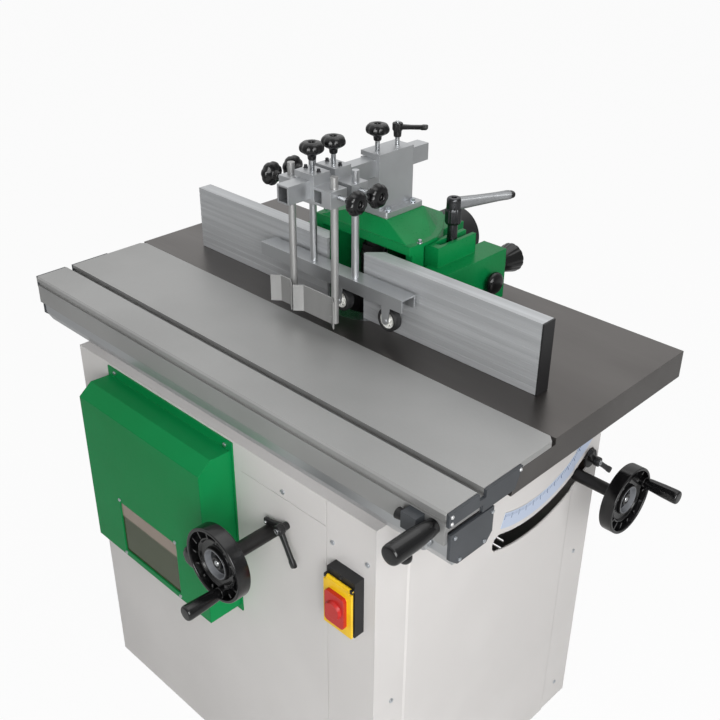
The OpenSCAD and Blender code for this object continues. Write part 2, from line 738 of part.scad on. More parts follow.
// Tilt shaft with the single-start worm cut on it.
lead = gear_m * PI;
worm_turns = 5;
worm_l = worm_turns * lead;
worm_crest = worm_r + 2.4;
worm_root = worm_r - 3.5;
tilt_wheel_y = front_y - 124;
function worm_radius(u) = let (
    half_crest = 0.9,
    half_root = 2.9,
    d = abs(u - round(u)) * lead
) d < half_crest ? worm_crest : d > half_root ? worm_root
    : worm_crest - (worm_crest - worm_root) * (d - half_crest) / (half_root - half_crest);
module worm() {
    sides = 24;
    rotate([-90, 0, 0]) rotate([0, 0, 90]) translate([0, 0, -worm_l / 2])
        linear_extrude(worm_l, twist = -360 * worm_turns, slices = worm_turns * 10)
            polygon([
                for (i = [0:sides - 1]) let (a = i * 360 / sides)
                    worm_radius(a / 360 - worm_turns / 2 + 0.5) * [cos(a), sin(a)]
            ]);
}
module tilt_shaft() color(steel) {
    translate([tilt_x, spindle_y, worm_z]) {
        rotate([90, 0, 0]) translate([0, 0, worm_l / 2])
            cylinder(d = shaft_d, h = spindle_y - worm_l / 2 - (tilt_wheel_y + wheel_w - 11));
        rotate([-90, 0, 0]) translate([0, 0, worm_l / 2])
            cylinder(d = shaft_d, h = hanger_y + 14 - worm_l / 2);
        worm();
    }
    rod_y(tilt_wheel_y + wheel_w, front_y - 2, tilt_x, worm_z, shaft_d / 2 + 2.5);
}

// A dished handwheel. Its hub's back is at z = 0 and its open side faces +Z.
rib_n = 16;
crank_r = 47;
module handwheel() {
    r = wheel_d / 2;
    difference() {
        union() {
            rotate_extrude($fn = 96) polygon([
                [0, 0], [17, 0], [17, 2], [r - 12, 4], [r - 3, 0], [r, 3], [r, wheel_w - 3],
                [r - 3, wheel_w], [r - 8, wheel_w], [r - 10, wheel_w - 3], [r - 12, 8], [20, 6],
                [18, 15], [0, 15]
            ]);
            for (i = [0:rib_n - 1]) rotate([0, 0, (i + 0.5) * 360 / rib_n])
                translate([r - 22, -1.5, 5]) cube([14, 3, wheel_w - 9]);
            translate([crank_r, 0, 4]) cylinder(r = 9, h = wheel_w - 4);
            translate([crank_r, 0, 4]) cylinder(r = 5, h = wheel_w + crank_l - 12);
        }
        translate([0, 0, -1]) cylinder(d = shaft_d + 2 * fit, h = 13);
    }
    translate([0, 0, 15]) pan_head(12);
}

// A turning grip whose end face is at z = 0.
module crank_grip() {
    difference() {
        rotate_extrude() polygon([
            [0, 0], [crank_d * 0.36, 0], [crank_d * 0.42, 8], [crank_d / 2, crank_l * 0.55],
            [crank_d / 2, crank_l - 6], [crank_d / 2 - 3, crank_l], [0, crank_l]
        ]);
        translate([0, 0, -1]) cylinder(r = 5 + fit, h = crank_l - 6);
    }
}

module at_tilt_wheel() {
    translate([tilt_x, tilt_wheel_y + wheel_w, worm_z])
        rotate([90, 0, 0]) rotate([0, 0, tilt_crank_a]) children();
}
tilt_crank_a = -75;
module tilt_handwheel() color(dark) at_tilt_wheel() handwheel();
module tilt_crank_grip() color(dark) at_tilt_wheel() translate([crank_r, 0, wheel_w + gap]) crank_grip();

// Clamp levers beside the tilt shaft, on the front panel.
front_lock_x = 190;
front_lock_z = top - 192;
module front_lock_lever() color(dark) {
    translate([front_lock_x, front_y + 10, front_lock_z]) rotate([90, 0, 0]) {
        rotate([0, 0, -59]) clamp_lever(10 + gap, 5, 9, 22, 62, 2);
        translate([0, 0, 14]) rotate([0, 0, 190]) hull() {
            translate([3, 0, 0]) cylinder(r = 6, h = 7, $fn = 24);
            translate([34, 0, 4]) cylinder(r = 4.5, h = 6, $fn = 24);
        }
    }
}

// Height shaft with its bevel wheel, carried by the tilting frame.
bevel_r = 20;
bevel_face = 9;
height_wheel_x = 489;
module bevel() {
    // Pitch cone at 45 degrees with its large end at z = 0; the apex is at z = bevel_r.
    cylinder(r1 = bevel_r + 1 - gap, r2 = bevel_r + 1 - gap - bevel_face, h = bevel_face);
    translate([0, 0, -6]) cylinder(r = bevel_r - 3, h = 6);
}
module height_shaft() color(steel) {
    translate([0, spindle_y + shaft_ry, pivot_z + shaft_rz]) {
        rotate([0, 90, 0]) {
            translate([0, 0, screw_x + bevel_r - 1])
                cylinder(d = shaft_d, h = height_wheel_x - wheel_w + 11 - screw_x - bevel_r + 1);
            translate([0, 0, side_x - 3])
                cylinder(d = shaft_d + 3, h = height_wheel_x - wheel_w - side_x + 3);
        }
        translate([screw_x + bevel_r + 1, 0, 0]) rotate([0, -90, 0]) bevel();
    }
}
module at_height_wheel() {
    translate([height_wheel_x - wheel_w, spindle_y + shaft_ry, pivot_z + shaft_rz])
        rotate([0, 90, 0]) rotate([0, 0, height_crank_a]) children();
}
height_crank_a = 112;
module height_handwheel() color(dark) at_height_wheel() handwheel();
module height_crank_grip() color(dark) at_height_wheel()
    translate([crank_r, 0, wheel_w + gap]) crank_grip();

// Clamp lever of the tilt, on the stud that passes through the arc slot.
module right_lock_lever() color(dark) {
    washer = side_x + step_out + gap - (arm_x1 - 14);
    translate([arm_x1 - 14, spindle_y + stud_ry, pivot_z + stud_rz]) rotate([0, 90, 0]) {
        cylinder(r = 6, h = washer + 1);
        translate([0, 0, washer]) cylinder(r = 18, h = 4);
        translate([0, 0, washer + 3]) rotate([0, 0, 48]) clamp_lever(1, 6, 9, 18, 52, 6);
        translate([0, 0, washer + 6]) rotate([0, 0, 216]) hull() {
            cylinder(r = 6, h = 7, $fn = 24);
            translate([28, 0, 3]) cylinder(r = 4.5, h = 6, $fn = 24);
        }
    }
}

// Height screw with its bevel wheel. It turns in the frame's lugs and lifts the nut of the quill.
nut_z = [-130, -105];
module height_screw() color(steel) {
    translate([screw_x, spindle_y + shaft_ry, pivot_z]) {
        rod_z(shaft_rz + bevel_r, lug_top[1] + 4, 0, 0, screw_r);
        translate([0, 0, shaft_rz + bevel_r + 1]) mirror([0, 0, 1]) bevel();
        rod_z(lug_top[1] + 0.2, lug_top[1] + 7, 0, 0, 12);
    }
}

// Quill with the flange, the upright that carries the nut, and the motor plate.
quill_top = -28;
quill_end = -203;
post_y = [62, 84];
motor_plate_z = [-278, -268];
bearing_l = 20;
bearing_r = 17;
module quill_housing() color([0.5, 0.52, 0.54]) {
    translate([0, spindle_y, pivot_z]) difference() {
        union() {
            translate([0, 0, quill_end]) cylinder(d = quill_d, h = quill_top - quill_end);
            translate([0, 0, quill_end - 8]) cylinder(r = quill_d / 2, h = 9);
            block([-20, 30, quill_end - 8], [20, post_y[1], quill_end]);
            block([-20, post_y[0], motor_plate_z[0]], [20, post_y[1], nut_z[1]]);
            block([-20, post_y[0], nut_z[0]], [screw_x + 14, shaft_ry, nut_z[1]]);
            rod_z(nut_z[0], nut_z[1], screw_x, shaft_ry, 14);
            block([screw_x - 14, shaft_ry - 1, nut_z[0]], [screw_x + 14, shaft_ry, nut_z[1]]);
            block(
                [-motor_dx - motor_d / 2, -motor_d / 2, motor_plate_z[0]],
                [30, post_y[1], motor_plate_z[1]]
            );
        }
        translate([0, 0, quill_end - 9]) cylinder(r = bearing_r + 3, h = 200);
        rod_z(nut_z[0] - 1, nut_z[1] + 1, screw_x, shaft_ry, screw_r + fit);
        rod_z(motor_plate_z[0] - 1, motor_plate_z[1] + 1, -motor_dx, 0, 30);
    }
    translate([0, spindle_y, pivot_z]) for (z = [quill_top - bearing_l, quill_end - 8]) difference() {
        rod_z(z, z + bearing_l, 0, 0, bearing_r + 4);
        rod_z(z - 1, z + bearing_l + 1, 0, 0, bearing_r + fit);
    }
}

// Spindle with its pulley, and with spacer rings and nut as loose pieces above the quill.
arbor_top = top + 112;
spacer_n = 9;
spacer_h = 14;
nut_seat = pivot_z + quill_top + 8.1 + spacer_n * (spacer_h + 0.1);
pulley_z = [-262, -216];
module pulley(r, h) {
    rotate_extrude() polygon([
        [0, 0], [r, 0], [r, 3], [r - 5, 7], [r - 5, h - 7], [r, h - 3], [r, h], [0, h]
    ]);
}
module spindle_arbor() color(steel) {
    translate([0, spindle_y, 0]) {
        rod_z(pivot_z + quill_end - 8, pivot_z + quill_top, 0, 0, bearing_r);
        rod_z(pivot_z + quill_top, arbor_top, 0, 0, arbor_d / 2);
        rod_z(pivot_z + quill_top + 0.5, pivot_z + quill_top + 8, 0, 0, bearing_r + 6);
        rod_z(pivot_z + pulley_z[0] - 2, pivot_z + quill_end - 7, 0, 0, 14);
        translate([0, 0, pivot_z + pulley_z[0]]) pulley(45, pulley_z[1] - pulley_z[0]);
        for (i = [0:spacer_n - 1]) translate([0, 0, pivot_z + quill_top + 8.1 + i * (spacer_h + 0.1)])
            spacer(25, spacer_h);
        translate([0, 0, nut_seat + 0.1]) spacer(23, 9);
        translate([0, 0, nut_seat + 9.2]) difference() {
            cylinder(r = 22, h = 12, $fn = 6);
            translate([0, 0, -1]) cylinder(r = arbor_d / 2 + fit, h = 14);
        }
    }
}
module spacer(r, h) {
    difference() {
        cylinder(r = r, h = h);
        translate([0, 0, -1]) cylinder(r = arbor_d / 2 + fit, h = h + 2);
    }
}

// Motor with cooling ribs, terminal box and fan cowl, hung under the motor plate.
motor_ribs = 20;
module drive_motor() color([0.2, 0.22, 0.24]) {
    translate([-motor_dx, spindle_y, pivot_z + motor_plate_z[0]]) mirror([0, 0, 1]) {
        difference() {
            union() {
                cylinder(r = motor_d / 2 - 14, h = 12);
                translate([0, 0, 11]) cylinder(d = motor_d - 16, h = motor_l - 55);
            }
            translate([0, 0, -1]) cylinder(r = 12 + fit, h = 21);
        }
        for (i = [0:motor_ribs - 1]) rotate([0, 0, i * 360 / motor_ribs])
            translate([motor_d / 2 - 10, -1.5, 14]) cube([9, 3, motor_l - 65]);
        translate([0, 0, motor_l - 46]) cylinder(d = motor_d - 2, h = 46);
        translate([-motor_d / 2 - 10, -40, 40]) cube([28, 80, 70]);
    }
}

motor_pulley_r = 58;
module motor_pulley() color(steel) {
    translate([-motor_dx, spindle_y, pivot_z]) {
        rod_z(motor_plate_z[0] - 19.7, pulley_z[0] + 1, 0, 0, 12);
        translate([0, 0, pulley_z[0]]) pulley(motor_pulley_r, pulley_z[1] - pulley_z[0]);
    }
}

// Flat belt round both pulleys.
belt_t = 3;
module belt_outline(extra) {
    r0 = 40 + gap + extra;
    r1 = motor_pulley_r - 5 + gap + extra;
    touch = acos((r1 - r0) / motor_dx);
    polygon(concat(
        [for (i = [0:24]) let (a = -touch + i * touch / 12) r0 * [cos(a), sin(a)]],
        [for (i = [0:30]) let (a = touch + i * (360 - 2 * touch) / 30) [r1 * cos(a) - motor_dx, r1 * sin(a)]]
    ));
}
module drive_belt() color(dark) {
    translate([0, spindle_y, pivot_z + pulley_z[0] + 9])
        linear_extrude(pulley_z[1] - pulley_z[0] - 18) difference() {
            belt_outline(belt_t);
            belt_outline(0);
        }
}

// Hood

// Outline of the hood seen from above, round the spindle.
hood_out = [
    [-114, -34], [-116, 0], [-113, 34], [-94, 72], [-71, 101], [-44, 129], [44, 129], [71, 101],
    [94, 72], [113, 34], [116, 0], [112, -34]
];
port_z = 60;
hood_back = spindle_y + 166;
base_z0 = 163;
base_z1 = 173;
column_y0 = 80;
column_y1 = 173;
left_arm_x = -168;
cavity_x = 98;
foot_t = 5;
fence_back = fence_y + fence_t;
carrier_y0 = fence_back + gap;
channel_zs = [24, 66];
carrier_travel = 16;
cavity_top = 124;
lug_y0 = 101;
lug_y1 = 200;
lug_z = 133;
module hood_shape(grow) {
    // Lower skirt, the sloping shoulder and the box of the dust outlet.
    s = 1 + grow / 116;
    translate([0, spindle_y, 0]) {
        linear_extrude(hood_h + grow) scale([s, s]) polygon(hood_out);
        hull() {
            translate([0, 0, hood_h + grow - 1])
                linear_extrude(1) scale([s * 0.9, s * 0.9]) polygon(hood_out);
            translate([-40 - grow, -14 - grow, base_z0 + grow - 1]) cube([80 + 2 * grow, 96 + 2 * grow, 1]);
        }
    }
    block([-64 - grow, spindle_y + 100, 0], [64 + grow, hood_back + grow, 118 + grow]);
}
module hood_body() color(green) translate([0, 0, top]) {
    difference() {
        union() {
            hood_shape(0);
            block([left_arm_x, carrier_y0, 0], [-110, 251, 98]);
            block([-138, lug_y0, 97], [-100, lug_y1, lug_z]);
            block([-150, carrier_y0, 0], [150, 251, foot_t]);
        }
        intersection() {
            difference() {
                translate([0, 0, -1]) hood_shape(-hood_t);
                translate([0, 0, base_z0 - 12]) block([-60, 50, 0], [60, 200, 20]);
            }
            block([-cavity_x, 0, -2], [cavity_x, hood_back, base_z0]);
        }
        block([-96, 0, -1], [cavity_x, spindle_y + 40, cavity_top]);
        // The right fence half shifts back into this room.
        block([cavity_x - 1, 0, -1], [carrier_x, fence_back + carrier_travel + 2 * gap, cavity_top]);
        block([-cavity_x, 62, -1], [cavity_x, 240, foot_t + 1]);
        rod_y(hood_back - 30, hood_back + 1, 0, port_z, port_d / 2 - 6);
        // Room for the nut and the end of the spindle when it is raised.
        rod_z(hood_h - hood_t - 9, hood_h - 1, 0, spindle_y, 27);
        rod_z(hood_h - hood_t - 9, hood_h + 5, 0, spindle_y, 21);
        block([left_arm_x + 8, carrier_y0 + 8, -1], [-122, 243, 90]);
        block([cavity_x + hood_t, 90, foot_t + 0.3], [carrier_x, 230, 134]);
        rod_z(-1, foot_t + 1, slot_x, stud_y, 6 + fit);
        rod_z(110, 140, -119, stud_y, 6);
    }
    difference() {
        block([fence_knob_x - 9, 214, foot_t - 1], [fence_knob_x + 9, 230, 74]);
        rod_y(213, 231, fence_knob_x, knob_rz, 6 + fit);
    }
    translate([-119, stud_y, lug_z]) hex_head(16, 10);
    fence_bolts(-143);
}

// The bolts that hold a fence half: their heads slide in the channels of its back.
module fence_bolts(x) {
    for (z = channel_zs) {
        rod_y(fence_back - 9, carrier_y0 + 1, x, z + 6, 4);
        rod_y(fence_back - 11.5, fence_back - 7.5, x, z + 6, 8);
    }
}

// Black outlet for a dust hose of 100 mm.
port_l = 68;
module dust_port() color(dark) translate([0, hood_back, top + port_z]) rotate([-90, 0, 0]) difference() {
    union() {
        cylinder(d = port_d, h = port_l);
        cylinder(d = port_d + 16, h = 4);
    }
    translate([0, 0, -1]) cylinder(d = port_d - 6, h = port_l + 2);
}

// Right carrier: the casting that holds the right fence half and shifts along Y on the hood's foot.
carrier_x0 = 118;
slot_x = 123;
slot_y0 = 114;
stud_y = 153;
module right_carrier() color(green) translate([0, 0, top]) {
    difference() {
        union() {
            block([carrier_x0, carrier_y0, foot_t + 0.3], [carrier_x, 251, 98]);
            block([cavity_x + hood_t + 1.5, 101, 60], [138, 200, 133]);
        }
        block([carrier_x0 + 8, carrier_y0 + 8, 4], [carrier_x - 8, 243, 90]);
        block([slot_x - 7, slot_y0 + 7, 4], [slot_x + 7, 201, 134]);
        rod_z(4, 134, slot_x, slot_y0 + 7, 7);
        rod_y(242, 252, fence_knob_x, knob_rz, 6 + fit);
        rod_x(carrier_x - 9, carrier_x + 1, 206, 50, 4 + fit);
    }
    fence_bolts(143);
}

// Clamp lever of the carrier: spacer tube, dark hub and a long metal arm.
module hood_lever() color(dark) translate([slot_x, stud_y, top]) {
    rod_z(0.3, 134, 0, 0, 6);
    rod_z(133.3, 165, 0, 0, 9.5);
    rod_z(164, 210, 0, 0, 14);
    rotate([0, 0, 56.8]) {
        hull() {
            translate([8, 0, 186]) cylinder(r = 9, h = 16, $fn = 32);
            translate([92, 0, 206]) cylinder(r = 7, h = 8, $fn = 32);
        }
        translate([92, 0, 204]) cylinder(r = 11, h = 11);
    }
}

// Black fluted knob whose screw shifts the right carrier.
fence_knob_x = 148;
knob_rz = 62;
module fence_knob() color(dark) translate([fence_knob_x, 251, top + knob_rz]) rotate([-90, 0, 0]) {
    translate([0, 0, -46]) cylinder(r = 6, h = 54);
    translate([0, 0, gap]) cylinder(r = 14, h = 8);
    translate([0, 0, 7]) difference() {
        rotate_extrude() polygon([[0, 0], [22, 0], [24, 3], [24, 38], [21, 42], [9, 42], [8, 38], [0, 38]]);
        for (i = [0:11]) rotate([0, 0, i * 30]) translate([25.6, 0, -1]) cylinder(r = 3.4, h = 50, $fn = 20);
    }
}

module carrier_knob() color(dark) translate([carrier_x - 8, 206, top + 50]) rotate([0, 90, 0]) {
    cylinder(r = 4, h = 10);
    translate([0, 0, 8 + gap]) cylinder(r1 = 9, r2 = 10, h = 7);
    translate([0, 0, 15]) difference() {
        rotate_extrude() polygon([[0, 0], [17, 0], [20, 3], [20, 10], [17, 13], [0, 13]]);
        for (i = [0:6]) rotate([0, 0, i * 360 / 7])
            translate([22.6, 0, -1]) cylinder(r = 5, h = 20, $fn = 24);
    }
}

// A fence half as an aluminium extrusion with fine grooves in its face and channels in its back.
groove_n = 9;
cap_t = 3;
module fence_profile() {
    difference() {
        translate([fence_y, 0.5]) square([fence_t, fence_h - 0.5]);
        for (i = [1:groove_n]) translate([fence_y - 0.01, i * fence_h / (groove_n + 1)]) square([0.6, 1.6]);
        for (z = channel_zs) {
            translate([fence_back - 9, z]) square([10, 12]);
            translate([fence_back - 12, z - 5]) square([6, 22]);
        }
        translate([fence_y + 5, 100]) square([fence_t - 10, 14]);
    }
}
module left_fence() color(aluminium) translate([0, 0, top]) difference() {
    along_x(-fence_gap - fence_left_l, -fence_gap) fence_profile();
    translate([-fence_gap, fence_y + 6, -1]) rotate([0, 0, 45]) cube([40, 40, fence_h + 2]);
}
module right_fence() color(aluminium) translate([0, 0, top]) {
    x1 = fence_gap + fence_right_l;
    difference() {
        along_x(fence_gap, x1 - cap_t) fence_profile();
        translate([fence_gap, fence_y + 6, -1]) rotate([0, 0, 45]) cube([40, 40, fence_h + 2]);
    }
    block([x1 - cap_t, fence_y, 0.5], [x1, fence_back, fence_h]);
}

// Pressure device

// Column with base plate and split head that clamps the beam.
head_w = 44;
head_y0 = 78;
head_y1 = 162;
head_z = 271;
module clamp_column() color(aluminium) translate([0, 0, top]) {
    difference() {
        union() {
            translate([0, (column_y0 + column_y1) / 2, base_z0]) linear_extrude(base_z1 - base_z0)
                round_rect(76, column_y1 - column_y0, 4);
            block([-head_w / 2, head_y0, base_z1 - 1], [head_w / 2, head_y1, head_z]);
        }
        translate([0, 0, beam_z]) along_y(head_y0 - 1, head_y1 + 1)
            translate([-beam_w / 2 - fit, -fit]) square([beam_w + 2 * fit, beam_h + 2 * fit]);
        block(
            [-head_w / 2 - 1, head_y0 - 1, beam_z + beam_h - 2],
            [-beam_w / 2 + 1, head_y1 + 1, beam_z + beam_h + 1]
        );
        for (y = [head_y0 + 17, head_y0 + 66]) rod_z(beam_z + beam_h - 1, head_z + 1, 0, y, 4 + fit);
    }
}

module column_knob() color(dark) translate([0, head_y0 + 17, top + beam_z + beam_h + 0.3]) star_knob(25);
module column_lever() color(dark) translate([0, head_y0 + 66, top + beam_z + beam_h + 0.3]) {
    rotate([0, 0, 25]) clamp_lever(22, 4, 9, 24, 47, 4);
}

// Hollow square beam.
beam_y1 = 211;
module pressure_beam() color(aluminium) translate([0, 0, top + beam_z]) along_y(beam_y1 - beam_l, beam_y1)
    translate([0, beam_h / 2]) difference() {
        square([beam_w, beam_h], center = true);
        square([beam_w - 2 * beam_t, beam_h - 2 * beam_t], center = true);
    }

// Cross clamp: middle head round the beam, windowed arms and end lugs that hold the rods.
front_cross_y = -54;
rear_cross_y = -7;
cross_d = 36;
cross_head_w = 44;
cross_z0 = 226;
cross_arm_z1 = 254;
cross_head_z1 = 272;
lug_x0 = rod_pitch / 2 - 10;
lug_x1 = rod_pitch / 2 + 10;
module cross_clamp(y) {
    difference() {
        union() {
            block(
                [-cross_head_w / 2, y - cross_d / 2, cross_z0 - 2],
                [cross_head_w / 2, y + cross_d / 2, cross_head_z1]
            );
            block([-lug_x1, y - cross_d / 2, cross_z0], [lug_x1, y + cross_d / 2, cross_arm_z1]);
        }
        along_y(y - cross_d, y + cross_d) translate([-beam_w / 2 - fit, beam_z - fit])
            square([beam_w + 2 * fit, beam_h + 2 * fit]);
        for (sx = [-1, 1]) {
            block(
                [sx > 0 ? cross_head_w / 2 + 1 : -lug_x0, y - cross_d, cross_z0 + 4],
                [sx > 0 ? lug_x0 : -cross_head_w / 2 - 1, y + cross_d, cross_arm_z1 - 4]
            );
            rod_z(cross_z0 - 5, cross_arm_z1 + 5, sx * rod_pitch / 2, y, rod_d / 2 + fit);
            hole_x0 = sx > 0 ? rod_pitch / 2 : -lug_x1 - 1;
            rod_x(hole_x0, hole_x0 + lug_x1 + 1 - rod_pitch / 2, y, 242.5, 4 + fit);
        }
        block(
            [-cross_head_w / 2 - 1, y - cross_d, beam_z + beam_h - 2],
            [-beam_w / 2 + 1, y + cross_d, beam_z + beam_h + 1]
        );
        rod_z(beam_z + beam_h - 1, cross_head_z1 + 1, 0, y, 4 + fit);
    }
    for (sx = [-1, 1]) translate([sx * 15, y, cross_head_z1]) hex_head(5, 4);
}
module front_cross() color(aluminium) translate([0, 0, top]) cross_clamp(front_cross_y);
module rear_cross() color(aluminium) translate([0, 0, top]) cross_clamp(rear_cross_y);

module cross_knob(y) {
    translate([0, y, top + beam_z + beam_h + 0.3]) star_knob(26);
}
module rod_knob(y, side) {
    translate([side * (rod_pitch / 2 + rod_d / 2 + 0.3), y, top + 242.5])
        rotate([0, side * 90, 0]) star_knob(22);
}
module front_cross_knob() color(dark) cross_knob(front_cross_y);
module rear_cross_knob() color(dark) cross_knob(rear_cross_y);
module front_left_knob() color(dark) rod_knob(front_cross_y, -1);
module front_right_knob() color(dark) rod_knob(front_cross_y, 1);
module rear_left_knob() color(dark) rod_knob(rear_cross_y, -1);
module rear_right_knob() color(dark) rod_knob(rear_cross_y, 1);

// Front rods with the two bent side plates screwed to their feet.
rod_top = 273.5;
guide_foot = 20;
guide_h = 48;
plate_y = front_cross_y - rod_d / 2 - 2;
module bent_plate(x0, x1) {
    // Seen from above: a flat middle that carries the rod, and two wings bent forwards.
    w = 2;
    translate([0, 0, guide_foot]) linear_extrude(guide_h) polygon([
        [x0, plate_y - 12], [x0 + 14, plate_y], [x1 - 16, plate_y], [x1, plate_y - 12],
        [x1 - 0.8, plate_y - 12 - w], [x1 - 16.8, plate_y - w],
        [x0 + 14.8, plate_y - w], [x0 + 0.8, plate_y - 12 - w]
    ]);
}
module side_guides() color(steel) translate([0, 0, top]) {
    for (sx = [-1, 1]) difference() {
        rod_z(work_t + 2, rod_top, sx * rod_pitch / 2, front_cross_y, rod_d / 2);
        block(
            [sx * rod_pitch / 2 - 10, plate_y - 10, guide_foot - 1],
            [sx * rod_pitch / 2 + 10, plate_y + 2.5, guide_foot + guide_h + 1]
        );
    }
    translate([0, 2.5, 0]) {
        bent_plate(-rod_pitch / 2 - 40, -rod_pitch / 2 + 14);
        bent_plate(-rod_pitch / 2 + 17, rod_pitch / 2 + 16);
    }
    for (x = [-rod_pitch / 2, rod_pitch / 2], z = [12, 36])
        translate([x, plate_y + 0.5, guide_foot + z]) rotate([90, 0, 0]) pan_head(7);
}

// Shoe: an aluminium channel open below, on the two rear rods, with the forks of the rollers.
shoe_x0 = -176;
shoe_x1 = 166;
shoe_y0 = -19;
shoe_y1 = 14;
shoe_z0 = 65;
shoe_z1 = 88;
shoe_t = 3;
left_roller_x = 21;
right_roller_x = 130;
roller_y = -7;
roller_w = 17;
module pressure_shoe() color(aluminium) translate([0, 0, top]) {
    along_x(shoe_x0, shoe_x1) difference() {
        translate([shoe_y0, shoe_z0]) square([shoe_y1 - shoe_y0, shoe_z1 - shoe_z0]);
        translate([shoe_y0 + shoe_t, shoe_z0 - 1])
            square([shoe_y1 - shoe_y0 - 2 * shoe_t, shoe_z1 - shoe_z0 - shoe_t + 1]);
    }
    for (sx = [-1, 1]) rod_z(shoe_z1 - 1, rod_top, sx * rod_pitch / 2, rear_cross_y, rod_d / 2);
    for (x = [left_roller_x, right_roller_x]) {
        block(
            [x - 10, roller_y - roller_w / 2 - 3.5, shoe_z1 - shoe_t - 3],
            [x + 10, roller_y + roller_w / 2 + 3.5, shoe_z1 - shoe_t + 1]
        );
        for (sy = [-1, 1]) hull() {
            y = roller_y + sy * (roller_w / 2 + 2) - 1.2;
            block([x - 10, y, shoe_z1 - shoe_t - 3], [x + 10, y + 2.4, shoe_z1 - shoe_t]);
            translate([x, y, work_t + roller_d / 2]) rotate([-90, 0, 0]) cylinder(r = 7, h = 2.4, $fn = 24);
        }
        rod_y(roller_y - roller_w / 2 - 4, roller_y + roller_w / 2 + 4, x, work_t + roller_d / 2, 4);
    }
}

// A pressure roller: white hub with a black tyre.
module roller(x) color([0.9, 0.9, 0.9])
    translate([x, roller_y - roller_w / 2 + 0.2, top + work_t + roller_d / 2]) rotate([-90, 0, 0])
    difference() {
        rotate_extrude($fn = 64) polygon([
            [0, 2], [9, 0], [10, 3], [roller_d / 2 - 7, 4], [roller_d / 2 - 6, 0.5], [roller_d / 2 - 2, 0],
            [roller_d / 2, 3], [roller_d / 2, roller_w - 3.4], [roller_d / 2 - 2, roller_w - 0.4],
            [roller_d / 2 - 6, roller_w - 0.9], [roller_d / 2 - 7, roller_w - 4.4], [10, roller_w - 3.4],
            [9, roller_w - 0.4], [0, roller_w - 2.4]
        ]);
        translate([0, 0, -1]) cylinder(r = 4 + fit, h = roller_w + 2);
    }
module left_roller() roller(left_roller_x);
module right_roller() roller(right_roller_x);

// Switch

switch_x = 326;
switch_top = top - 195;
button_z = switch_top - 38;
module switch_box() color(dark) {
    difference() {
        block(
            [switch_x - switch_w / 2, front_y - switch_d, switch_top - switch_h],
            [switch_x + switch_w / 2, front_y, switch_top]
        );
        block(
            [switch_x - 16, front_y - switch_d - 1, switch_top - 82],
            [switch_x + 16, front_y - switch_d + 7, switch_top - 22]
        );
        rod_y(front_y - switch_d + 6, front_y - switch_d + 13, switch_x, button_z, 9 + fit);
    }
    for (sx = [-1, 1]) difference() {
        block(
            [switch_x + sx * 27 - 2, hinge_y - 3, hinge_z - 3],
            [switch_x + sx * 27 + 2, front_y - switch_d, hinge_z + 3]
        );
        rod_x(switch_x - 30, switch_x + 30, hinge_y, hinge_z, 1.5 + fit);
    }
    translate([switch_x, front_y - switch_d, switch_top - 6]) rotate([90, 0, 0]) pan_head(6);
}

// Yellow flap with the red stop paddle, hinged along its upper edge.
hinge_z = switch_top - 13;
hinge_y = front_y - switch_d - 3.5;
module switch_flap() color([0.95, 0.8, 0.05]) {
    y0 = hinge_y - 3;
    block([switch_x - 29, y0 - 1, switch_top - switch_h + 3], [switch_x + 29, y0 + 3, hinge_z - 5]);
    block([switch_x - 24, y0 - 1, hinge_z - 6], [switch_x + 24, y0 + 3, hinge_z]);
    rod_x(switch_x - 24, switch_x + 24, hinge_y, hinge_z, 3);
    rod_x(switch_x - 28.8, switch_x + 28.8, hinge_y, hinge_z, 1.5);
    translate([switch_x, y0 - 1, switch_top - 58]) rotate([90, 0, 0]) linear_extrude(7) round_rect(40, 58, 6);
    translate([switch_x, y0 - 7, switch_top - 58]) rotate([90, 0, 0]) cylinder(r1 = 16, r2 = 14, h = 6);
}

module start_button() color([0.1, 0.6, 0.25]) {
    translate([switch_x, front_y - switch_d + 9, button_z]) rotate([90, 0, 0]) cylinder(r = 9, h = 7);
}

cabinet_frame();
rear_left_shell();
right_side();
front_panel();
front_cover();
cover_window();
cover_knob();
fasteners();
main_table();
table_ring();
slide_rail();
rail_end_plates();
rail_lock_lever();
sliding_table();
slide_end_plates();
slide_handle();
slide_lock_knob();
trunnion_guides();
tilt_frame();
tilt_shaft();
tilt_handwheel();
tilt_crank_grip();
front_lock_lever();
height_shaft();
height_handwheel();
height_crank_grip();
right_lock_lever();
height_screw();
quill_housing();
spindle_arbor();
drive_motor();
motor_pulley();
drive_belt();
hood_body();
dust_port();
right_carrier();
hood_lever();
fence_knob();
carrier_knob();
left_fence();
right_fence();
clamp_column();
column_knob();
column_lever();
pressure_beam();
front_cross();
rear_cross();
front_cross_knob();
rear_cross_knob();
front_left_knob();
front_right_knob();
rear_left_knob();
rear_right_knob();
side_guides();
pressure_shoe();
left_roller();
right_roller();
switch_box();
switch_flap();
start_button();
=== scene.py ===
"""The looks of a spindle moulder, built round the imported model. Lengths are in metres."""

import math

import bpy
from mathutils import Matrix, Vector


